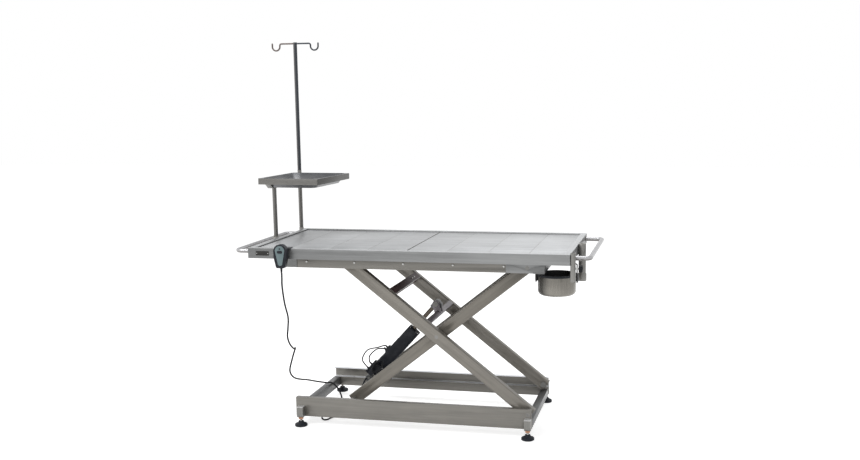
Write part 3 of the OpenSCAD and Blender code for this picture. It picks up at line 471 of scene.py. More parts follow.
@dataclass(frozen=True)
class Plated(Finish):
    """Plated fastener with a mottled passivated tone."""

    shade: Colour = (0.30, 0.17, 0.11)
    roughness: float = 0.34

    def paint(self, graph: Graph) -> None:
        """Draws the mottled plating.

        Args:
            graph: The nodes of the material.
        """
        mottle = graph.noise(0.006, 3.0).over(0.35, 0.65)
        pit = graph.noise(0.0007)
        graph.surface(
            Base_Color=graph.mixed(self.colour, self.shade, mottle),
            Metallic=0.85,
            Roughness=self.roughness + (mottle - 0.5) * 0.15,
            Normal=graph.bump(pit, 0.0001, 0.4),
        )


SATIN = "satin_steel"
BRIGHT = "bright_steel"
BLACK = "black_plastic"
ARM_TILT = 38.3

RAIL_GREY = (0.225, 0.215, 0.195)
RAIL = BrushedSteel("rail_steel", SATIN, RAIL_GREY)
# Painted highlight: a lit strip on the track at 78 mm and a lit top edge from 117.1 mm.
BASE_RAIL = BrushedSteel("base_rail_steel", SATIN, RAIL_GREY, lit_level=0.078, lit_from=0.1171)
BASE_FACE = BrushedSteel("base_face_steel", SATIN, RAIL_GREY)
CROSS = BrushedSteel("cross_steel", SATIN, (0.13, 0.133, 0.135), grain=Grain.ACROSS)
OUTER_ARM = BrushedSteel("outer_arm_steel", SATIN, (0.225, 0.21, 0.185), tilt=ARM_TILT)
INNER_ARM = BrushedSteel("inner_arm_steel", SATIN, (0.20, 0.185, 0.16), tilt=-ARM_TILT)
# Painted shade and reflection: the tie's dark reddish colour stands for its shade and its
# reflection of the top's underside.
TIE = BrushedSteel(
    "tie_steel", SATIN, (0.075, 0.040, 0.042), grain=Grain.ACROSS, metallic=0.1, roughness=0.6
)
CLEVIS_TIE = BrushedSteel(
    "clevis_tie_steel", SATIN, (0.19, 0.17, 0.185), grain=Grain.ACROSS, metallic=0.4
)
RIM_TOP = (0.42, 0.43, 0.44)
# Painted shade: the faces below the rim top are painted darker than the lit top, and the whole face
# darker towards the left.
FACE = BrushedSteel(
    "face_steel", SATIN, RIM_TOP, streaks=0.12, painted_light_low_colour=(0.30, 0.305, 0.305),
    painted_light_low_level=(0.7486, 0.7494), painted_light_ramps=(("X", -0.62, 0.55, 0.58, 1.0),),
)
# Painted shade: the outer end faces are painted dark below the lit rim top, and darker towards the
# left.
FACE_END = BrushedSteel(
    "end_face_steel", SATIN, RIM_TOP, grain=Grain.ACROSS, painted_light_low_colour=(0.12, 0.12, 0.122),
    painted_light_low_level=(0.7486, 0.7494), painted_light_ramps=(("X", -0.62, 0.55, 0.80, 1.0),),
)
# Painted shade: dark brown in the crease grooves and on the deck edges below 744.7 mm; the deck is
# also painted darker towards the left, across a band from X -0.60 to 0.50 m and towards the back.
DECK = BrushedSteel(
    "deck_steel", BRIGHT, (0.43, 0.44, 0.45), streaks=0.22, roughness=0.42,
    painted_light_low_colour=(0.10, 0.080, 0.055), painted_light_low_level=(0.7447, 0.74499),
    painted_light_ramps=(("X", -0.62, 0.55, 0.86, 1.0), ("X", -0.60, -0.25, 1.0, 0.74),
           ("X", -0.05, 0.50, 1.0, 1 / 0.74), ("Y", 0.1, 0.3, 1.0, 0.8)),
)
# Painted shade: the stand is painted darker right of X -0.44 m.
STAND = BrushedSteel(
    "stand_steel", SATIN, (0.17, 0.165, 0.155), grain=Grain.ACROSS,
    painted_light_ramps=(("X", -0.441, -0.437, 1.0, 0.42),),
)
# Painted light and shade: the pan's floor is painted lighter as a lit inside, and the rim darker as
# painted shade.
PAN = BrushedSteel(
    "pan_steel", BRIGHT, (0.07, 0.073, 0.078), roughness=0.30, clouds=0.9,
    painted_light_low_colour=(0.15, 0.15, 0.155), painted_light_low_level=(0.970, 1.002),
)
# Painted shade: the bowl is painted darker on its left side, left of X 0.56 m.
POT = BrushedSteel(
    "pot_steel", BRIGHT, (0.27, 0.255, 0.225), grain=Grain.UPRIGHT, roughness=0.26,
    painted_light_ramps=(("X", 0.530, 0.560, 0.30, 1.0),),
)
FITTING = BrushedSteel("fitting_steel", BRIGHT, (0.28, 0.275, 0.26), grain=Grain.UPRIGHT)
CAP = BrushedSteel("cap_steel", SATIN, (0.27, 0.275, 0.27), grain=Grain.UPRIGHT)
DARK_WELD = BrushedSteel("weld_steel", SATIN, (0.07, 0.065, 0.06), metallic=0.3)
# Painted highlight: the brackets are bright above 80 mm, on their lit tops, and darker below as
# painted shade.
BRACKET = BrushedSteel(
    "bracket_steel", BRIGHT, (0.62, 0.62, 0.62), grain=Grain.UPRIGHT,
    painted_light_low_colour=(0.25, 0.245, 0.23), painted_light_low_level=(0.0795, 0.0805),
)
# Painted highlight and shade: across the tube's height, a dark lower side, a bright band and a
# paler top.
HANDLE = PolishedSteel(
    "handle_steel", BRIGHT, (0.25, 0.25, 0.25), metallic=0.5, painted_light_span=(0.722, 0.740),
    painted_light_bands=((0.0, (0.10, 0.09, 0.085)), (0.3, (0.26, 0.25, 0.245)), (0.6, (0.55, 0.55, 0.56)),
           (0.85, (0.42, 0.42, 0.43)), (1.0, (0.30, 0.30, 0.31))),
)
# Painted shade and reflection: bands across the pole, paler on its left and dark on its right.
POLE = PolishedSteel(
    "pole_steel", BRIGHT, (0.12, 0.12, 0.12), metallic=0.3, painted_light_axis="X",
    painted_light_span=(-0.6693, -0.6513),
    painted_light_bands=((0.0, (0.14, 0.115, 0.105)), (0.3, (0.165, 0.165, 0.165)),
           (0.6, (0.06, 0.065, 0.073)), (1.0, (0.045, 0.052, 0.062))),
)
PIN = PolishedSteel("pin_steel", BRIGHT, (0.62, 0.62, 0.61), roughness=0.30)
AXLE = PolishedSteel("axle_steel", SATIN, (0.25, 0.245, 0.235), metallic=0.6, roughness=0.38)
WIRE = PolishedSteel("wire_steel", SATIN, (0.10, 0.098, 0.094), metallic=0.4, roughness=0.45)
ROD = PolishedSteel("rod_steel", "polished_rod", (0.12, 0.10, 0.08), roughness=0.20, metallic=0.6)
HOUSING = MouldedPlastic("housing_black", BLACK, (0.008, 0.010, 0.015))
KNOB = MouldedPlastic("knob_black", BLACK, (0.006, 0.007, 0.009), roughness=0.5, gloss=0.15)
LINER = MouldedPlastic("liner_black", BLACK, (0.040, 0.040, 0.040), roughness=0.38, gloss=0.5)
RUBBER = MouldedPlastic("foot_black", BLACK, (0.014, 0.017, 0.023), roughness=0.58)
PLATE = MouldedPlastic("plate_dark", BLACK, (0.035, 0.034, 0.032), roughness=0.35)
NYLON = MouldedPlastic("roller_nylon", "nylon", (0.62, 0.62, 0.57), rubbed=(0.40, 0.40, 0.37))
PANEL = MouldedPlastic(
    "panel_pale", "pale_panel", (0.19, 0.25, 0.26), rubbed=(0.16, 0.215, 0.225), grain_size=0.0005
)
JACKET = CordJacket("cord_black", "cord_rubber", (0.010, 0.011, 0.014))
NUT = Plated("nut_copper", "copper_nut", (0.50, 0.27, 0.17))


class Piece:
    """One piece on the bench, shaped in edit mode and set on its body."""

    def __init__(self, name: str, obj: bpy.types.Object) -> None:
        """Names an object and its mesh as the piece.

        Args:
            name: Name of the piece.
            obj: The object.
        """
        self.obj = obj
        obj.name = name
        obj.data.name = name

    @staticmethod
    def clear() -> None:
        """Deselects every object."""
        bpy.ops.object.select_all(action="DESELECT")

    def activate(self) -> None:
        """Makes the piece the only selected object."""
        self.clear()
        self.obj.select_set(True)
        bpy.context.view_layer.objects.active = self.obj

    def settle(self) -> "Piece":
        """Puts the object's place, turn and size into its mesh.

        Returns:
            The piece.
        """
        self.activate()
        bpy.ops.object.transform_apply(location=True, rotation=True, scale=True)
        return self

    @classmethod
    def box(cls, name: str, low: Point, high: Point) -> "Piece":
        """Starts a piece as a box between two corners.

        Args:
            name: Name of the piece.
            low: Lowest corner, in millimetres.
            high: Highest corner, in millimetres.

        Returns:
            The piece.
        """
        first, last = mm(*low), mm(*high)
        cls.clear()
        bpy.ops.mesh.primitive_cube_add(size=1, location=(first + last) / 2)
        bpy.context.object.scale = last - first
        return cls(name, bpy.context.object).settle()

    @classmethod
    def turned(
        cls, name: str, rings: Rings, place: Matrix = Matrix.Identity(4), sides: int = 32
    ) -> "Piece":
        """Starts a piece as a turned form, a round face extruded and widened ring by ring.

        Args:
            name: Name of the piece.
            rings: Height along Z and radius of each ring, in millimetres.
            place: Frame that the form stands in.
            sides: Number of sides.

        Returns:
            The piece.
        """
        steps = [(height * MM, radius * MM) for height, radius in rings]
        cls.clear()
        bpy.ops.mesh.primitive_circle_add(
            vertices=sides, radius=steps[0][1], fill_type="NGON", location=(0, 0, steps[0][0])
        )
        piece = cls(name, bpy.context.object).settle()
        with piece.editing():
            bpy.ops.mesh.select_all(action="SELECT")
            for (low, narrow), (high, wide) in zip(steps, steps[1:]):
                piece.drawn_out(high - low)
                ratio = wide / narrow
                bpy.ops.transform.resize(value=(ratio, ratio, 1), center_override=(0, 0, high))
            piece.turned_out()
        return piece.moved(place)

    @staticmethod
    def drawn_out(height: float) -> None:
        """Extrudes what is selected along Z, by a height in metres."""
        bpy.ops.mesh.extrude_region_move(TRANSFORM_OT_translate={"value": (0, 0, height)})

    @staticmethod
    def turned_out() -> None:
        """Turns every normal outward in edit mode."""
        bpy.ops.mesh.select_all(action="SELECT")
        bpy.ops.mesh.normals_make_consistent(inside=False)

    @classmethod
    def meshed(cls, curve: bpy.types.Object) -> "Piece":
        """Starts a piece as the mesh of a curve.

        Args:
            curve: The curve object.

        Returns:
            The piece.
        """
        piece = cls(curve.name, curve)
        piece.activate()
        bpy.ops.object.convert(target="MESH")
        return piece

    @classmethod
    def bead(
        cls, name: str, points: Sequence[Point], width: float, closed: bool = False
    ) -> "Piece":
        """Starts a piece as a weld bead with its ripples.

        Args:
            name: Name of the piece.
            points: Points on the seam, in metres, one for each ripple.
            width: Width of the bead, in millimetres.
            closed: Whether the bead closes on itself.

        Returns:
            The piece, as a mesh.
        """
        obj = tube_object(name, points, width * MM / 2, closed)
        for point in list(obj.data.splines[0].points)[1::2]:
            point.radius = RIPPLE_DIP
        return cls.meshed(obj)

    @classmethod
    def copy_of(cls, name: str, node: str) -> "Piece":
        """Starts a piece as a merged copy of a node.

        Args:
            name: Name of the piece.
            node: Name of the node.

        Returns:
            The piece.
        """
        piece = cls(name, linked(name, bpy.data.objects[node].data.copy()))
        piece.obj.data.materials.clear()
        piece.activate()
        bpy.ops.mesh.customdata_custom_splitnormals_clear()
        with piece.editing():
            bpy.ops.mesh.select_all(action="SELECT")
            bpy.ops.mesh.remove_doubles(threshold=MERGED)
            bpy.ops.mesh.dissolve_limited(angle_limit=math.radians(FLAT))
        return piece

    @contextmanager
    def editing(self) -> Iterator[None]:
        """Edit mode on this piece alone.

        Returns:
            A context in which the piece is in edit mode.
        """
        self.activate()
        bpy.ops.object.mode_set(mode="EDIT")
        yield
        bpy.ops.object.mode_set(mode="OBJECT")

    def pick(self, test: Test) -> None:
        """Selects the faces whose middle and normal pass a test."""
        self._pick("FACE", lambda face: test(face.calc_center_median(), face.normal))

    def pick_edges(self, test: Test) -> None:
        """Selects the edges whose two ends pass a test."""
        self._pick("EDGE", lambda edge: test(edge.verts[0].co, edge.verts[1].co))

    def _pick(self, kind: str, test: Callable[[object], bool]) -> None:
        """Selects faces or edges in edit mode.

        Args:
            kind: FACE or EDGE.
            test: Says whether one of them is picked.
        """
        bpy.ops.mesh.select_mode(type=kind)
        bpy.ops.mesh.select_all(action="DESELECT")
        mesh = bmesh.from_edit_mesh(self.obj.data)
        for item in mesh.faces if kind == "FACE" else mesh.edges:
            item.select_set(test(item))
        bmesh.update_edit_mesh(self.obj.data)

    def rounded(self, axis: int, radius: float, steps: int) -> "Piece":
        """Rounds the edges of a box that run along an axis.

        Args:
            axis: The axis, X, Y or Z.
            radius: Radius of the rounding, in millimetres.
            steps: Number of its steps.

        Returns:
            The piece.
        """
        with self.editing():
            self.pick_edges(lambda a, b: abs((a - b)[axis]) > 0.1 * MM)
            bpy.ops.mesh.bevel(offset=radius * MM, segments=steps, affect="EDGES")
        return self

    def eased(self, width: float, segments: int = 2, angle: float = 35.0) -> "Piece":
        """Rounds the edges that are sharper than an angle.

        Args:
            width: Width of the rounding, in millimetres.
            segments: Number of its steps.
            angle: The angle, in degrees.

        Returns:
            The piece.
        """
        self.activate()
        modifier = self.obj.modifiers.new("bevel", "BEVEL")
        modifier.width = width * MM
        modifier.segments = segments
        modifier.limit_method = "ANGLE"
        modifier.angle_limit = math.radians(angle)
        bpy.ops.object.modifier_apply(modifier=modifier.name)
        return self

    def moved(self, matrix: Matrix) -> "Piece":
        """Moves and turns the piece."""
        self.obj.matrix_world = matrix
        return self.settle()

    def repeated(self, places: Sequence[Matrix]) -> "Piece":
        """This pattern moved to each place from where it is, joined in one piece.

        Args:
            places: The places.

        Returns:
            The piece.
        """
        name, mesh = f"{self.obj.name}_more", self.obj.data
        copies = [Piece(name, linked(name, mesh.copy())).moved(place) for place in places[1:]]
        return self.moved(places[0]).joined(copies)

    def inset(self, test: Test, margin: float, depth: float) -> "Piece":
        """Sinks the faces whose middle and normal pass a test, within a margin.

        Args:
            test: The test.
            margin: Width of the margin, in millimetres.
            depth: Depth that they sink by, in millimetres.

        Returns:
            The piece.
        """
        with self.editing():
            self.pick(test)
            bpy.ops.mesh.inset(thickness=margin * MM, depth=-depth * MM)
        return self

    def joined(self, others: Sequence["Piece"]) -> "Piece":
        """Joins other pieces into this one.

        Args:
            others: The other pieces.

        Returns:
            The piece.
        """
        self.activate()
        for other in others:
            other.obj.select_set(True)
        bpy.ops.object.join()
        return self

    def finished(
        self, finish: Finish, body: str, replaces: Sequence[str] = (), angle: float = 35.0
    ) -> "Piece":
        """Smooths, dresses and mounts the piece.

        Args:
            finish: Its finish.
            body: The body that it rides on.
            replaces: Nodes that it stands for.
            angle: Angle, in degrees, under which neighbouring faces look smooth.

        Returns:
            The piece.
        """
        self.activate()
        bpy.ops.object.shade_smooth_by_angle(angle=math.radians(angle))
        mount(self.obj, finish, body, replaces)
        return self


def mount(obj: bpy.types.Object, finish: Finish, body: str, replaces: Sequence[str] = ()) -> None:
    """Dresses an object and sets it on its body.

    Args:
        obj: The object.
        finish: Its finish.
        body: The body that it rides on.
        replaces: Nodes that it stands for.
    """
    obj.data.materials.clear()
    obj.data.materials.append(finish.material())
    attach(obj, body)
    if replaces:
        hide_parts(*replaces)
    LOG.info("%s rides on %s in %s", obj.name, body, finish.name)


def tube_object(
    name: str, points: Sequence[Point], radius: float, closed: bool = False
) -> bpy.types.Object:
    """A round tube along points, as a curve object.

    Args:
        name: Name of the object.
        points: Points that it follows, in metres.
        radius: Radius of the tube, in metres.
        closed: Whether it closes on itself.

    Returns:
        The curve object.
    """
    curve = bpy.data.curves.new(name, "CURVE")
    curve.dimensions = "3D"
    curve.bevel_depth = radius
    curve.bevel_resolution = 3
    curve.use_fill_caps = True
    spline = curve.splines.new("POLY")
    spline.points.add(len(points) - 1)
    spline.use_cyclic_u = closed
    for target, point in zip(spline.points, points):
        target.co = (*point, 1.0)
    return linked(name, curve)


def smooth_route(points: Sequence[Point], steps: int) -> list[Vector]:
    """A smooth curve through given points.

    Args:
        points: The points, in millimetres.
        steps: Number of steps from each point to the next.

    Returns:
        The points along the curve, in metres.
    """
    route = [mm(*point) for point in points]
    last = len(route) - 1
    curve: list[Vector] = []
    for i in range(last):
        a, b, c, d = (route[max(0, min(last, i + k))] for k in (-1, 0, 1, 2))
        square, cube = 2 * a - 5 * b + 4 * c - d, 3 * b - a - 3 * c + d
        for t in (step / steps for step in range(steps)):
            curve.append(0.5 * (2 * b + (c - a) * t + square * t**2 + cube * t**3))
    return [*curve, route[last]]


@dataclass
class PhotoCamera:
    """The camera, where the photograph was taken from."""

    place: Point = (1.0938, -4.1234, 1.3472)
    yaw: float = 12.868
    pitch: float = 8.705
    roll: float = -0.692
    focal_px: float = 1028.89
    centre_px: tuple[float, float] = (459.08, 252.86)
    frame_px: tuple[int, int] = (860, 460)
    sensor: float = 36.0

    def build(self) -> None:
        """Makes the camera and gives it to the scene."""
        width, height = self.frame_px
        data = bpy.data.cameras.new("photo_camera")
        data.sensor_width = self.sensor
        data.lens = self.focal_px / width * self.sensor
        data.shift_x = (width / 2 - self.centre_px[0]) / width
        data.shift_y = (self.centre_px[1] - height / 2) / width
        camera = linked("photo_camera", data)
        frame = Matrix.Translation(Vector(self.place))
        for angle, axis in ((self.yaw, "Z"), (90 - self.pitch, "X"), (self.roll, "Z")):
            frame = frame @ Matrix.Rotation(math.radians(angle), 4, axis)
        camera.matrix_world = frame
        bpy.context.scene.camera = camera


@dataclass
class Lamp:
    """A soft area lamp that looks at the middle of the table."""

    name: str
    place: Point
    size: float
    power: float

    def build(self) -> None:
        """Makes the lamp and turns it to the table."""
        data = bpy.data.lights.new(self.name, "AREA")
        data.shape = "SQUARE"
        data.size = self.size
        data.energy = self.power
        lamp = linked(self.name, data)
        place = Vector(self.place)
        turn = (Vector((0, 0, 0.6)) - place).to_track_quat("-Z", "Y")
        lamp.matrix_world = Matrix.Translation(place) @ turn.to_matrix().to_4x4()


@dataclass
class Studio:
    """Plain pale floor, plain world and soft lamps."""

    floor_side: float = 30.0
    floor_level: float = -0.0005
    white: ClassVar[tuple[float, ...]] = (1.0, 1.0, 1.0, 1.0)
    sky: float = 0.38
    glow: float = 0.72
    lamps: list[Lamp] = field(
        default_factory=lambda: [
            Lamp("key_lamp", (-2.0, -3.0, 3.4), 2.4, 95),
            Lamp("top_lamp", (0.3, 0.8, 4.2), 3.0, 110),
        ]
    )

    @staticmethod
    def seen(graph: Graph) -> Wire:
        """1 for a ray of the camera, a mirror or a glass, and 0 for diffuse light.

        Args:
            graph: The nodes of the floor or the world.

        Returns:
            The 1 or 0.
        """
        kinds = ("Is Camera Ray", "Is Glossy Ray", "Is Transmission Ray")
        first, second, third = (graph.node("ShaderNodeLightPath", output=k) for k in kinds)
        return (first + second + third).over(0.0, 1.0)

    def build(self) -> None:
        """Makes the floor, the world and the lamps."""
        bpy.context.scene.view_settings.view_transform = "Standard"
        self._world()
        self._floor()
        for lamp in self.lamps:
            lamp.build()

    def _world(self) -> None:
        """Makes a plain world that looks white and lights softly."""
        world = bpy.data.worlds.new("studio_world")
        bpy.context.scene.world = world
        graph = Graph(world)
        level = self.sky + self.seen(graph) * (1.0 - self.sky)
        sky = graph.node("ShaderNodeBackground", {}, {"Color": self.white, "Strength": level})
        graph.end(sky, "ShaderNodeOutputWorld")

    def _floor(self) -> None:
        """Makes the floor, which keeps the table's shadow."""
        Piece.clear()
        bpy.ops.mesh.primitive_plane_add(size=self.floor_side, location=(0, 0, self.floor_level))
        floor = bpy.context.object
        floor.name = "studio_floor"
        material = bpy.data.materials.new("floor_pale")
        graph = Graph(material)
        shade = graph.node("ShaderNodeBsdfDiffuse", {}, {"Color": (0.80, 0.80, 0.80, 1.0)})
        inputs = {"Color": self.white, "Strength": self.seen(graph) * self.glow}
        glow = graph.node("ShaderNodeEmission", {}, inputs)
        graph.end(graph.node("ShaderNodeAddShader", {}, {0: shade, 1: glow}))
        floor.data.materials.append(material)


@dataclass
class HandsetCord:
    """The handset's cord, from its strain relief to the drive, in three stretches."""

    diameter: float = 7.2 * MM
    steps: int = 6
    upper: Sequence[Point] = (
        (-500, -332.5, 654.7), (-500, -332.5, 629.7), (-500, -333, 600), (-500, -315, 529),
        (-500, -284, 464), (-500, -289, 420), (-500, -297, 385), (-500, -276, 350),
        (-500, -238, 322), (-500, -226.7, 320.1),
    )
    lower: Sequence[Point] = (
        (-500, -226, 320), (-501, -216, 318), (-508, -214, 300), (-508, -238, 276),
        (-508, -266, 240), (-506, -256, 214), (-503, -224, 192), (-500, -164, 170),
        (-500, -104, 152), (-500, -8, 119), (-498, 60, 96), (-480, 90, 85),
        (-466, 106, 81.8), (-446, 118, 60), (-424, 112, 24), (-418, 90, 4.4), (-420, 0, 4.4),
        (-424, -100, 4.4), (-419, -150, 4.4), (-402, -178, 4.4), (-386, -176, 4.4),
        (-378, -150, 4.4), (-350, -90, 4.4), (-310, -48, 6.2), (-286, -40, 20), (-281, -40, 46),
        (-281, -40, 55.4),
    )
    tail: Sequence[Point] = (
        (-281, -40, 56), (-281, -40, 70), (-278, -38, 100), (-268, -34, 130), (-256, -33, 152),
    )

    def build(self) -> None:
        """Makes the three stretches."""
        self._stretch("handset_cord_upper", self.upper, "platform", "cord_upper")
        self._stretch("handset_cord_lower", self.lower, "base", "cord_lower")
        self._stretch("handset_cord_tail", self.tail, "drive", "cord_tail")

    def _stretch(self, name: str, points: Sequence[Point], body: str, node: str) -> None:
        """Makes one stretch.

        Args:
            name: Name of the piece.
            points: Its route, in millimetres.
            body: The body that it rides on.
            node: The node that it replaces.
        """
        route = smooth_route(points, self.steps)
        cord = tube_object(name, route, self.diameter / 2)
        mount(cord, JACKET, body, [node])


@dataclass
class WorkedNodes:
    """Worked copies of the nodes that keep their shape, with eased edges and a finish."""

    sheet_edge: float = 0.5
    tube_edge: float = 1.0
    finishes: ClassVar[dict[str, Finish]] = {
        "base_rail_front": BASE_FACE, "base_rail_rear": BASE_RAIL, "base_cross_left": CROSS,
        "base_cross_right": CROSS, "foot_brackets": BRACKET,
        "arm_outer_front": OUTER_ARM, "arm_outer_rear": OUTER_ARM,
        "outer_tie": TIE, "clevis_tie": CLEVIS_TIE, "arm_inner_front": INNER_ARM,
        "arm_inner_rear": INNER_ARM, "inner_tie": CROSS, "fascia_front": FACE,
        "fascia_rear": FACE, "fascia_left": FACE_END, "fascia_right": FACE_END,
        "top_rail_front": RAIL, "top_rail_rear": RAIL, "top_cross_left": CROSS,
        "top_cross_right": CROSS, "deck_bearers": CROSS, "pivot_plates": FACE,
        "sockets_left": FITTING, "sockets_right": FITTING, "deck_left": DECK,
        "deck_right": DECK, "stand_frame": STAND, "tray_pan": PAN, "pot_trim": HOUSING,
        "drive_clevis": FITTING, "rod_eye": CROSS,
    }
    kept: ClassVar[dict[str, Finish]] = {
        "base_pivots": AXLE, "outer_pins": AXLE, "inner_pins": AXLE, "top_pivots": AXLE,
        "handle_left": HANDLE, "handle_right": HANDLE, "drip_pole": POLE, "pot_hooks": WIRE,
        "drive_rod": ROD,
    }

    def build(self, bodies: dict[str, str], nodes: dict[str, bpy.types.Object]) -> None:
        """Makes the worked copies and dresses the nodes that stay.

        Args:
            bodies: The body of each node.
            nodes: The nodes' objects.
        """
        for node, finish in self.finishes.items():
            sheet = finish in (FACE, FACE_END, DECK, PAN, BRACKET)
            edge = self.sheet_edge if sheet else self.tube_edge
            piece = Piece.copy_of(f"{node}_worked", node)
            piece.eased(edge).finished(finish, bodies[node], [node])
        for node, finish in self.kept.items():
            nodes[node].data.materials.clear()
            nodes[node].data.materials.append(finish.material())


OUTER = leaning(mm(105.314, 0, 391.0), -38.316)
DRIVE = leaning(mm(-248.311, 0, 149.798), 47.869)
SIDES = (("front", -1), ("rear", 1))
ENDS = (("left", -1), ("right", 1))


def pan_screw(name: str, radius: float) -> Piece:
    """A pan head screw with a round socket, its radius in millimetres, seated at the origin."""
    rings = ((0, 1), (0.3, 1.03), (0.45, 0.98), (0.75, 0.72), (0.8, 0.45), (0.35, 0.40))
    return Piece.turned(name, [(h * radius, r * radius) for h, r in rings], sides=20)


def threads(foot: float, top: float, root: float, crest: float, pitch: float) -> Rings:
    """Rings of a threaded stud, in millimetres.

    Args:
        foot: Height that the thread starts at.
        top: Height from which no further turn starts.
        root: Radius between the crests.
        crest: Radius over the crests.
        pitch: Height of one turn.

    Returns:
        The rings.
    """
    rings = [(foot, root)]
    while rings[-1][0] < top:
        start = rings[-1][0]
        rings += [(start + pitch / 2, crest), (start + pitch, root)]
    return rings


@dataclass
class Nameplate:
    """The bare dark plate on the front face, with a raised rim and two rivets."""

    left: float = -616
    right: float = -560
    foot: float = 720
    top: float = 738
    face_y: float = -312.5
    thick: float = 0.9
    rivet_margin: float = 4

    def build(self) -> None:
        """Makes the plate and its rivets."""
        front = self.face_y - self.thick
        low, high = (self.left, front, self.foot), (self.right, self.face_y, self.top)
        plate = Piece.box("bare_plate", low, high)
        plate.rounded(Y, 2, 4)
        plate.inset(lambda c, n: n.y < -0.9, 1.2, 0.35)
        plate.eased(0.15).finished(PLATE, "platform")
        rivet = Piece.turned("plate_rivets", ((0, 1.5), (0.5, 1.4), (0.9, 0.8)), sides=16)
        middle = (self.foot + self.top) / 2
        stations = (self.left + self.rivet_margin, self.right - self.rivet_margin)
        places = [facing(mm(x, front + 0.3, middle), (0, -1, 0)) for x in stations]
        rivet.repeated(places).finished(PIN, "platform")


@dataclass
class RailCaps:
    """End caps of the left cross tube, flush in the outer faces of the top rails."""

    left: float = -516
    right: float = -468
    foot: float = 664.6
    top: float = 706
    face_y: float = 247
    sunk: float = 0.3
    proud: float = 0.8

    def build(self) -> None:
        """Makes the cap of each side, rimmed by its weld."""
        for side, way in SIDES:
            near, far = sorted((way * (self.face_y - self.sunk), way * (self.face_y + self.proud)))
            low, high = (self.left, near, self.foot), (self.right, far, self.top)
            cap = Piece.box(f"cross_cap_{side}", low, high)
            cap.inset(lambda c, n, way=way: n.y * way > 0.9, 2.2, 0.45)
            cap.eased(0.25).finished(CAP, "platform")
            seam = upright(self.right + 1.0, way * self.face_y, int(self.foot) + RIPPLE, self.top)
            Piece.bead(f"cap_bead_{side}", seam, 2.4).finished(DARK_WELD, "platform")


@dataclass
class RailScrews:
    """Screws through the webs of the top rails into the ends of the bearers."""

    stations: tuple[float, ...] = (-426, -223, -20, 182, 385)
    level: float = 689
    face_y: float = 247
    radius: float = 4.5

    def build(self) -> None:
        """Makes the two rows of screws."""
        for side, way in SIDES:
            row = [mm(x, way * self.face_y, self.level) for x in self.stations]
            screws = pan_screw(f"rail_screws_{side}", self.radius)
            screws.repeated([facing(place, (0, way, 0)) for place in row]).finished(PIN, "platform")


@dataclass
class Handles:
    """Weld beads where the legs of the handles meet the ends of the top."""

    seam_x: float = 650.6
    leg_y: float = 266
    level: float = 731
    seam_r: float = 9.4
    bead_w: float = 4
    ripples: int = 30

    def build(self) -> None:
        """Makes the four beads, and the tubes keep their nodes."""
        for side, way in ENDS:
            beads = []
            for y in (-self.leg_y, self.leg_y):
                seam = [
                    mm(way * self.seam_x, y + self.seam_r * c, self.level + self.seam_r * s)
                    for c, s in circle(self.ripples)
                ]
                beads.append(Piece.bead("handle_bead", seam, self.bead_w, True))
            beads[0].joined(beads[1:]).obj.name = f"handle_beads_{side}"
            beads[0].finished(FITTING, "platform")


@dataclass
class LevellingFeet:
    """Coned rubber pads, threaded studs and lock nuts."""

    places: ClassVar[dict[str, tuple[float, float]]] = {
        "foot_front_left": (-469, -260), "foot_front_right": (480, -260),
        "foot_rear_left": (-469, 260), "foot_rear_right": (480, 260),
    }
    pad: Rings = (
        (0, 23.5), (0.8, 25.4), (2, 26), (7.6, 26), (9.2, 25.4), (10.4, 24), (12, 19.5),
        (14, 14.5), (16, 12.2), (18.5, 11.4), (21, 11), (22, 10),
    )
    stud_foot: float = 21
    stud_top: float = 68
    stud_root: float = 4.3
    stud_r: float = 5
    pitch: float = 1.5
    nut_r: float = 10.5
    nut_h: float = 8
    nut_z: float = 34

    def build(self) -> None:
        """Makes the four feet and their nuts."""
        stud = threads(
            self.stud_foot, self.stud_top - self.pitch, self.stud_root, self.stud_r, self.pitch
        )
        for node, (x, y) in self.places.items():
            place = at(x, y, 0)
            Piece.turned(f"{node}_pad", self.pad, place, 48).finished(RUBBER, node, [node], 28)
            Piece.turned(f"{node}_stud", stud, place, 20).finished(PIN, node)
        Piece.clear()
        bpy.ops.mesh.primitive_cylinder_add(
            vertices=6, radius=self.nut_r * MM, depth=self.nut_h * MM, location=mm(0, 0, self.nut_z)
        )
        nut = Piece("lock_nuts", bpy.context.object).settle()
        nut.inset(lambda c, n: n.z < -0.9, 1.3, -0.8)
        nut.inset(lambda c, n: n.z < -0.9 and c.xy.length < MM, 2.6, 1.5).eased(0.4)
        nut.repeated([at(x, y, 0) for x, y in self.places.values()])
        nut.finished(NUT, "base", ["foot_nuts"])


@dataclass
class Rollers:
    """Turned nylon rollers with a crowned tread and a recessed hub."""

    x: float = -267.372
    inner_y: float = 228.75
    levels: tuple[tuple[str, float], ...] = (("upper", 685.5), ("lower", 96.5))
    rings: Rings = (
        (2.0, 8.05), (2.0, 13.2), (0.0, 14.0), (0.0, 16.6), (1.0, 17.8), (3, 18), (9, 18),
        (11, 17.8), (12, 16.6), (12, 14.0), (10.0, 13.2), (10.0, 8.05),
    )

    def build(self, bodies: dict[str, str]) -> None:
        """Makes the four rollers, each on the body that its node is in.

        Args:
            bodies: The body of each node.
        """
        for level, z in self.levels:
            for side, way in SIDES:
                node = f"roller_{level}_{side}"
                place = facing(mm(self.x, way * self.inner_y, z), (0, way, 0))
                roller = Piece.turned(f"{node}_turned", self.rings, place, 48)
                roller.finished(NYLON, bodies[node], [node])


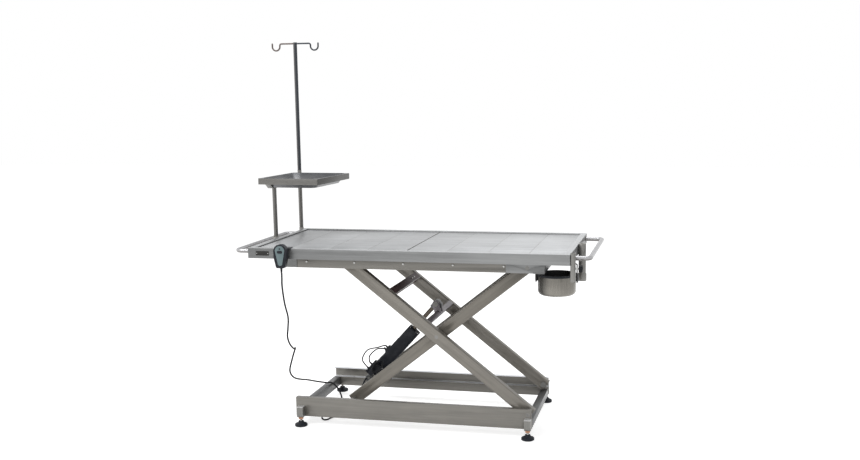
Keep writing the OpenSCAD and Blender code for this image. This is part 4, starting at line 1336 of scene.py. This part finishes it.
@dataclass
class ScissorTrim:
    """Flange and screws of the upper tie."""

    tie_foot: float = 242
    tie_middle: float = 257
    tie_n: float = 25
    inner_y: float = 193.5
    flange_t: float = 3
    flange_h: float = 6
    screw_y: tuple[float, ...] = (100, 130)

    def build(self) -> None:
        """Makes the flange and the screws."""
        low = (-self.tie_foot, -self.inner_y, self.tie_n - self.flange_h)
        high = (-self.tie_foot + self.flange_t, self.inner_y, self.tie_n)
        flange = Piece.box("tie_flange", low, high).eased(0.8)
        flange.moved(OUTER).finished(FITTING, "outer_arms")
        places = [OUTER @ at(-self.tie_middle, y, self.tie_n) for y in self.screw_y]
        pan_screw("tie_screws", 4).repeated(places).finished(PIN, "outer_arms")


@dataclass
class LiftDrive:
    """Black housing of the lift drive with its gearbox, motor, control box and leads."""

    top: float = 21.5
    foot: float = -32.5
    side: float = 21.5
    lower_end: float = 84
    upper_end: float = 297
    motor_y: float = 54
    lead_r: float = 2.8
    lead_steps: int = 8
    loop_r: float = 2.5
    loops: int = 3
    loop_steps: int = 28
    loop_middle: Point = (74, -47, 2)
    loop_drift: Point = (7, -6, 5)
    loop_width: tuple[float, float] = (33, 5)
    loop_height: tuple[float, float] = (17, 3)
    gland: Rings = ((-2, 4.6), (2, 4.6), (2.6, 4.0), (5, 4.0), (6, 3.4), (12, 2.7))
    routes: ClassVar[Sequence[Sequence[Point]]] = (
        ((60, -30, 29), (60, -30, 42), (80, -30, 60), (120, -26, 58), (140, -20, 42),
         (148, -15, 27)),
        ((36, -30, 29), (36, -30, 40), (46, -30, 74), (90, -24, 84), (128, -18, 60),
         (157, -14, 42), (158, -14, 27)),
    )

    def build(self) -> None:
        """Makes the housing, its fasteners and the leads."""
        parts = [self._tube(), self._gearbox(), self._motor(), self._control_box(), self._gland()]
        housing = parts[0].joined(parts[1:])
        housing.moved(DRIVE).finished(HOUSING, "drive", ["drive_body"])
        self._fasteners()
        self._leads()

    def _tube(self) -> Piece:
        """The extruded tube, with a groove down each side and a cap on its end.

        Returns:
            The tube with its cap and collar.
        """
        foot, top = (-self.side, self.foot), (self.side, self.top)
        tube = Piece.box("drive_housing", (self.lower_end - 2, *foot), (self.upper_end - 12, *top))
        tube.rounded(X, 8, 5)
        tube.inset(lambda c, n: abs(n.y) > 0.99, 9, 1.4)
        tube.inset(lambda c, n: n.z > 0.99, 7, 1.0).eased(0.5)
        cap = Piece.box("drive_cap", (self.upper_end - 13, *foot), (self.upper_end, *top))
        cap.rounded(X, 9, 5)
        cap.inset(lambda c, n: n.x > 0.99, 4, 1.6).eased(0.8)
        rings = ((0, 15), (5, 15), (6.5, 13.6), (6.5, 9.6), (1, 9.3))
        place = facing(mm(self.upper_end - 3.4, 0, 0), (1, 0, 0))
        return tube.joined([cap, Piece.turned("drive_collar", rings, place)])

    def _gearbox(self) -> Piece:
        """The gearbox with its split line and the web to the motor.

        Returns:
            The gearbox with its web.
        """
        low = (28, -self.side - 2, self.foot - 2)
        box = Piece.box("drive_gearbox", low, (self.lower_end, self.side + 2, self.top + 2))
        box.rounded(X, 8, 4)
        box.inset(lambda c, n: n.y < -0.99, 5, 1.2)
        box.inset(lambda c, n: n.z > 0.99, 5, -1.5).eased(0.8)
        web = Piece.box("drive_web", (32, 10, -20), (self.lower_end, self.motor_y, 20))
        return box.joined([web.inset(lambda c, n: abs(n.z) > 0.99, 5, 2).eased(1.0)])

    def _motor(self) -> Piece:
        """The motor with a ribbed can and a domed end.

        Returns:
            The motor.
        """
        rings = [(30, 20), (30, 25), (32, 27), (83, 27), (85, 26), (92, 26)]
        for rib in range(96, 168, 9):
            rings += [(rib, 26), (rib + 1, 25), (rib + 4, 25), (rib + 5, 26)]
        rings += [(180, 26), (181, 24.6), (184, 24.6), (185, 26), (196, 26), (200, 24), (202, 19)]
        return Piece.turned("drive_motor", rings, facing(mm(0, self.motor_y, 0), (1, 0, 0)), 48)

    def _control_box(self) -> Piece:
        """The control box with a lid and a skirt.

        Returns:
            The box with its lid.
        """
        box = Piece.box("drive_control", (20, -41.5, -4), (84, -20, 24))
        box.rounded(Y, 4, 3)
        box.inset(lambda c, n: n.y < -0.99, 3, 1.2).eased(0.8)
        lid = Piece.box("drive_lid", (19, -42.3, 24.6), (85, -19.5, 30))
        lid.rounded(Z, 4, 3).eased(0.9)
        return box.joined([lid, Piece.box("drive_neck", (22, -39, 23), (82, -21, 26))])

    def _gland(self) -> Piece:
        """The block on the tube that the leads go into.

        Returns:
            The block.
        """
        block = Piece.box("drive_gland", (132, -20, self.top - 4), (176, -8, self.top + 9))
        with block.editing():
            block.pick(lambda c, n: n.z > 0.99)
            bpy.ops.transform.resize(value=(0.62, 0.8, 1), center_override=mm(162, -14, 0))
        return block.eased(1.5, 3)

    def _fasteners(self) -> None:
        """Screws of the cap and the gearbox."""
        cap = [((self.upper_end - 1.6, y, z), (1, 0, 0)) for y in (-14, 14) for z in (-25, 14)]
        cover = [((x, -self.side - 0.8, z), (0, -1, 0)) for x in (38, 74) for z in (-26, -16)]
        places = [DRIVE @ facing(mm(*place), way) for place, way in cap + cover]
        pan_screw("drive_screws", 2.6).repeated(places).finished(PIN, "drive")

    def _leads(self) -> None:
        """The two leads, from the lid to the block, and their surplus."""
        leads = []
        for index, route in enumerate(self.routes):
            name = f"drive_lead_{index}"
            curve = tube_object(name, smooth_route(route, self.lead_steps), self.lead_r * MM)
            leads.append(Piece.meshed(curve))
            for end in (route[0], route[-1]):
                leads.append(Piece.turned(f"{name}_gland", self.gland, at(*end), 16))
        leads.append(self._bundle())
        leads[0].joined(leads[1:]).moved(DRIVE).obj.name = "drive_leads_tube"
        leads[0].finished(JACKET, "drive", ["drive_leads"])

    def _bundle(self) -> Piece:
        """Surplus lead, laid in loops that drift and narrow in front of the control box.

        Returns:
            The loops, as a mesh.
        """
        points = []
        steps = self.loops * self.loop_steps
        for step in range(steps + 1):
            angle, drift = math.tau * step / self.loop_steps, step / steps
            middle = Vector(self.loop_middle) + drift * Vector(self.loop_drift)
            wide, tall = (a - b * drift for a, b in (self.loop_width, self.loop_height))
            sway = -2 * math.sin(angle / 2 + 1)
            reach = Vector((wide * math.cos(angle), sway, tall * math.sin(angle)))
            points.append((middle + reach) * MM)
        return Piece.meshed(tube_object("drive_bundle", points, self.loop_r * MM))


@dataclass
class StarKnob:
    """A lobed clamp knob on its threaded stud."""

    side: str
    way: int
    face: float = 681.6
    middle_y: float = 302
    level: float = 697
    lobes: int = 5
    hub_r: float = 9.7
    grooves: ClassVar[Sequence[tuple[float, float]]] = ((15.0, 0.88), (9.0, 0.90))
    rings: ClassVar[Rings] = (
        (0, 7), (0, 9.4), (1.6, 10), (2.2, 12.8), (3.6, 13.5), (12.6, 13.5), (14.6, 12.6),
        (15.8, 11), (16, 6.5), (14.8, 5.6), (14.8, 2),
    )

    def build(self) -> None:
        """Makes the knob and its stud."""
        knob = Piece.turned(f"star_knob_{self.side}", self.rings, sides=60)
        for spread, depth in self.grooves:
            with knob.editing():
                knob.pick_edges(lambda a, b, reach=spread: self._grooved(a, b, reach))
                bpy.ops.transform.resize(value=(depth, depth, 1), center_override=(0, 0, 0))
        place = mm(self.way * self.face, -self.way * self.middle_y, self.level)
        frame = facing(place, (self.way, 0, 0))
        node = f"knob_{self.side}"
        knob.moved(frame).eased(0.6, 2, 40).finished(KNOB, node, [node])
        stud = Piece.turned(f"knob_stud_{self.side}", threads(-12, 0, 3.4, 4, 1.2), frame, 20)
        stud.finished(PIN, node)

    def _grooved(self, start: Vector, end: Vector, spread: float) -> bool:
        """Whether an edge lies in a groove between two lobes.

        Args:
            start: One end of the edge.
            end: Its other end.
            spread: Half the width of a groove, in degrees.

        Returns:
            Whether it does.
        """
        lobe = 360 / self.lobes
        for point in (start, end):
            turn = math.degrees(math.atan2(point.y, point.x)) % lobe
            if point.xy.length < self.hub_r * MM or abs(turn - lobe / 2) > spread:
                return False
        return True


@dataclass
class Handset:
    """Handset with a soft shell, a framed pale face, a rocker key and a ribbed relief."""

    middle_x: float = -500.5
    shell_foot: float = 675
    relief_y: float = -332.5
    face_y: float = -345
    lens_z: float = 753
    panel_z: float = 744
    panel_r: float = 20.3
    panel_drop: float = 49
    panel_t: float = 1.6

    def build(self, bodies: dict[str, str]) -> None:
        """Makes the shell, the face, the key, the lens and the relief.

        Args:
            bodies: The body of each node.
        """
        shell = Piece.copy_of("handset_shell", "handset_body")
        with shell.editing():
            bpy.ops.mesh.select_all(action="SELECT")
            bpy.ops.mesh.bisect(
                plane_co=mm(0, 0, self.shell_foot), plane_no=(0, 0, -1), use_fill=True,
                clear_outer=True,
            )
        shell.eased(2.2, 4, 50).finished(HOUSING, "handset", ["handset_body"])
        self._panel()
        key = Piece.copy_of("rocker_key", "handset_rocker").eased(0.9, 3, 50)
        key.finished(HOUSING, bodies["handset_rocker"], ["handset_rocker"])
        self._lens_and_relief()

    def _panel(self) -> None:
        """The pale panel, a disc drawn out to a narrow round foot, in a black margin."""
        Piece.clear()
        bpy.ops.mesh.primitive_circle_add(
            vertices=64, radius=self.panel_r * MM, fill_type="NGON", location=(0, 0, 0)
        )
        panel = Piece("handset_panel", bpy.context.object).settle()
        with panel.editing():
            panel.pick_edges(lambda a, b: max(a.y, b.y) < 0.1 * MM)
            bpy.ops.transform.resize(value=(0.50, 0.50, 1), center_override=(0, 0, 0))
            bpy.ops.transform.translate(value=mm(0, -self.panel_drop, 0))
            bpy.ops.mesh.select_all(action="SELECT")
            panel.drawn_out(self.panel_t * MM)
            panel.turned_out()
        place = mm(self.middle_x, self.face_y + self.panel_t, self.panel_z)
        panel.moved(facing(place, (0, -1, 0)))
        panel.eased(0.5, 3, 50).finished(PANEL, "handset", ["handset_face"])

    def _lens_and_relief(self) -> None:
        """The signal lens and the ribbed relief of the cord."""
        rings = ((0, 3.2), (0.6, 3.2), (0.9, 2.8), (0.5, 2.4), (0.9, 1.9), (1.2, 0.8))
        place = facing(mm(self.middle_x, self.face_y + 0.1, self.lens_z), (0, -1, 0))
        Piece.turned("signal_lens", rings, place, 24).finished(HOUSING, "handset")
        ribs = [(4, 5.2), (1, 5.2)]
        for rib in range(6):
            start, wide = -0.5 - 3 * rib, 5.0 - 0.25 * rib
            ribs += [(start, wide), (start - 1.4, wide)]
            ribs += [(start - 1.9, wide - 0.5), (start - 2.6, wide - 0.5)]
        ribs.append((-20, 3.7))
        place = at(self.middle_x, self.relief_y, self.shell_foot)
        Piece.turned("cord_relief", ribs, place, 24).finished(HOUSING, "handset")


@dataclass
class WastePot:
    """Drawn bowl with a rolled rim, and the black liner folded over the rim."""

    middle: tuple[float, float, float] = (580, -150, 567)
    outer: float = 75
    height: float = 83
    wall: float = 1.2
    knee: Rings = ((0, 59), (1.2, 65.1), (4.7, 70.3), (9.9, 73.8), (16, 75))
    liner: Rings = (
        (1.5, 15), (1.5, 57.3), (2.8, 63.4), (6.3, 68.6), (11.4, 72.1), (17.3, 73.3),
        (83.1, 73.3), (83.1, 76.4), (83.7, 76.4), (84, 76), (84, 73), (83.6, 72.5),
        (17.6, 72.5), (11.9, 71.3), (7, 67.9), (3.6, 62.9), (2.3, 57), (2.3, 15),
    )

    def build(self) -> None:
        """Makes the bowl and the liner, each a thin shell with a closed floor."""
        r, w, h = self.outer, self.wall, self.height
        rings = [*self.knee, (h - 1, r), (h, r - 0.6), (h - 1, r - w)]
        rings += [(z + w * 0.9, x - w) for z, x in reversed(self.knee)]
        place = at(*self.middle)
        Piece.turned("pot_bowl_drawn", rings, place, 96).finished(POT, "pot", ["pot_bowl"])
        Piece.turned("pot_liner", self.liner, place, 96).finished(LINER, "pot")


@dataclass
class TrayWelds:
    """Weld beads that hold the posts to the tray's frame."""

    front_post: tuple[float, float] = (-665, 15)
    rear_seam_y: float = 293.8
    rear_seam_x: tuple[float, ...] = (-665.7, -654.9)
    strap_foot: float = 963.7
    bar_foot: int = 982
    bar_top: float = 1006
    seam_r: float = 9.6
    ripples: int = 30
    ring_w: float = 3.5
    seam_w: float = 3

    def build(self) -> None:
        """Makes the ring under the strap and the upright beads on the rear bar."""
        (x, y), r = self.front_post, self.seam_r
        ring = [mm(x + r * c, y + r * s, self.strap_foot) for c, s in circle(self.ripples)]
        beads = [Piece.bead("tray_beads", ring, self.ring_w, True)]
        for x in self.rear_seam_x:
            seam = upright(x, self.rear_seam_y, self.bar_foot, self.bar_top)
            beads.append(Piece.bead("tray_bead", seam, self.seam_w))
        beads[0].joined(beads[1:]).finished(FITTING, "stand")


def main() -> None:
    """Builds the whole table round the frame."""
    logging.basicConfig(level=logging.INFO, format="%(name)s: %(message)s")
    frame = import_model()
    groups = frame["record"]["behaviour"]["bodies"]
    bodies = {node: body for body, nodes in groups.items() for node in nodes}
    PhotoCamera().build()
    HandsetCord().build()
    Studio().build()
    WorkedNodes().build(bodies, frame["nodes"])
    parts = (
        Nameplate(), RailCaps(), RailScrews(), Handles(), LevellingFeet(), ScissorTrim(),
        LiftDrive(), WastePot(), TrayWelds(),
    )
    for part in parts:
        part.build()
    for side, way in ENDS:
        StarKnob(side, way).build()
    Rollers().build(bodies)
    Handset().build(bodies)


if __name__ == "__main__":
    main()
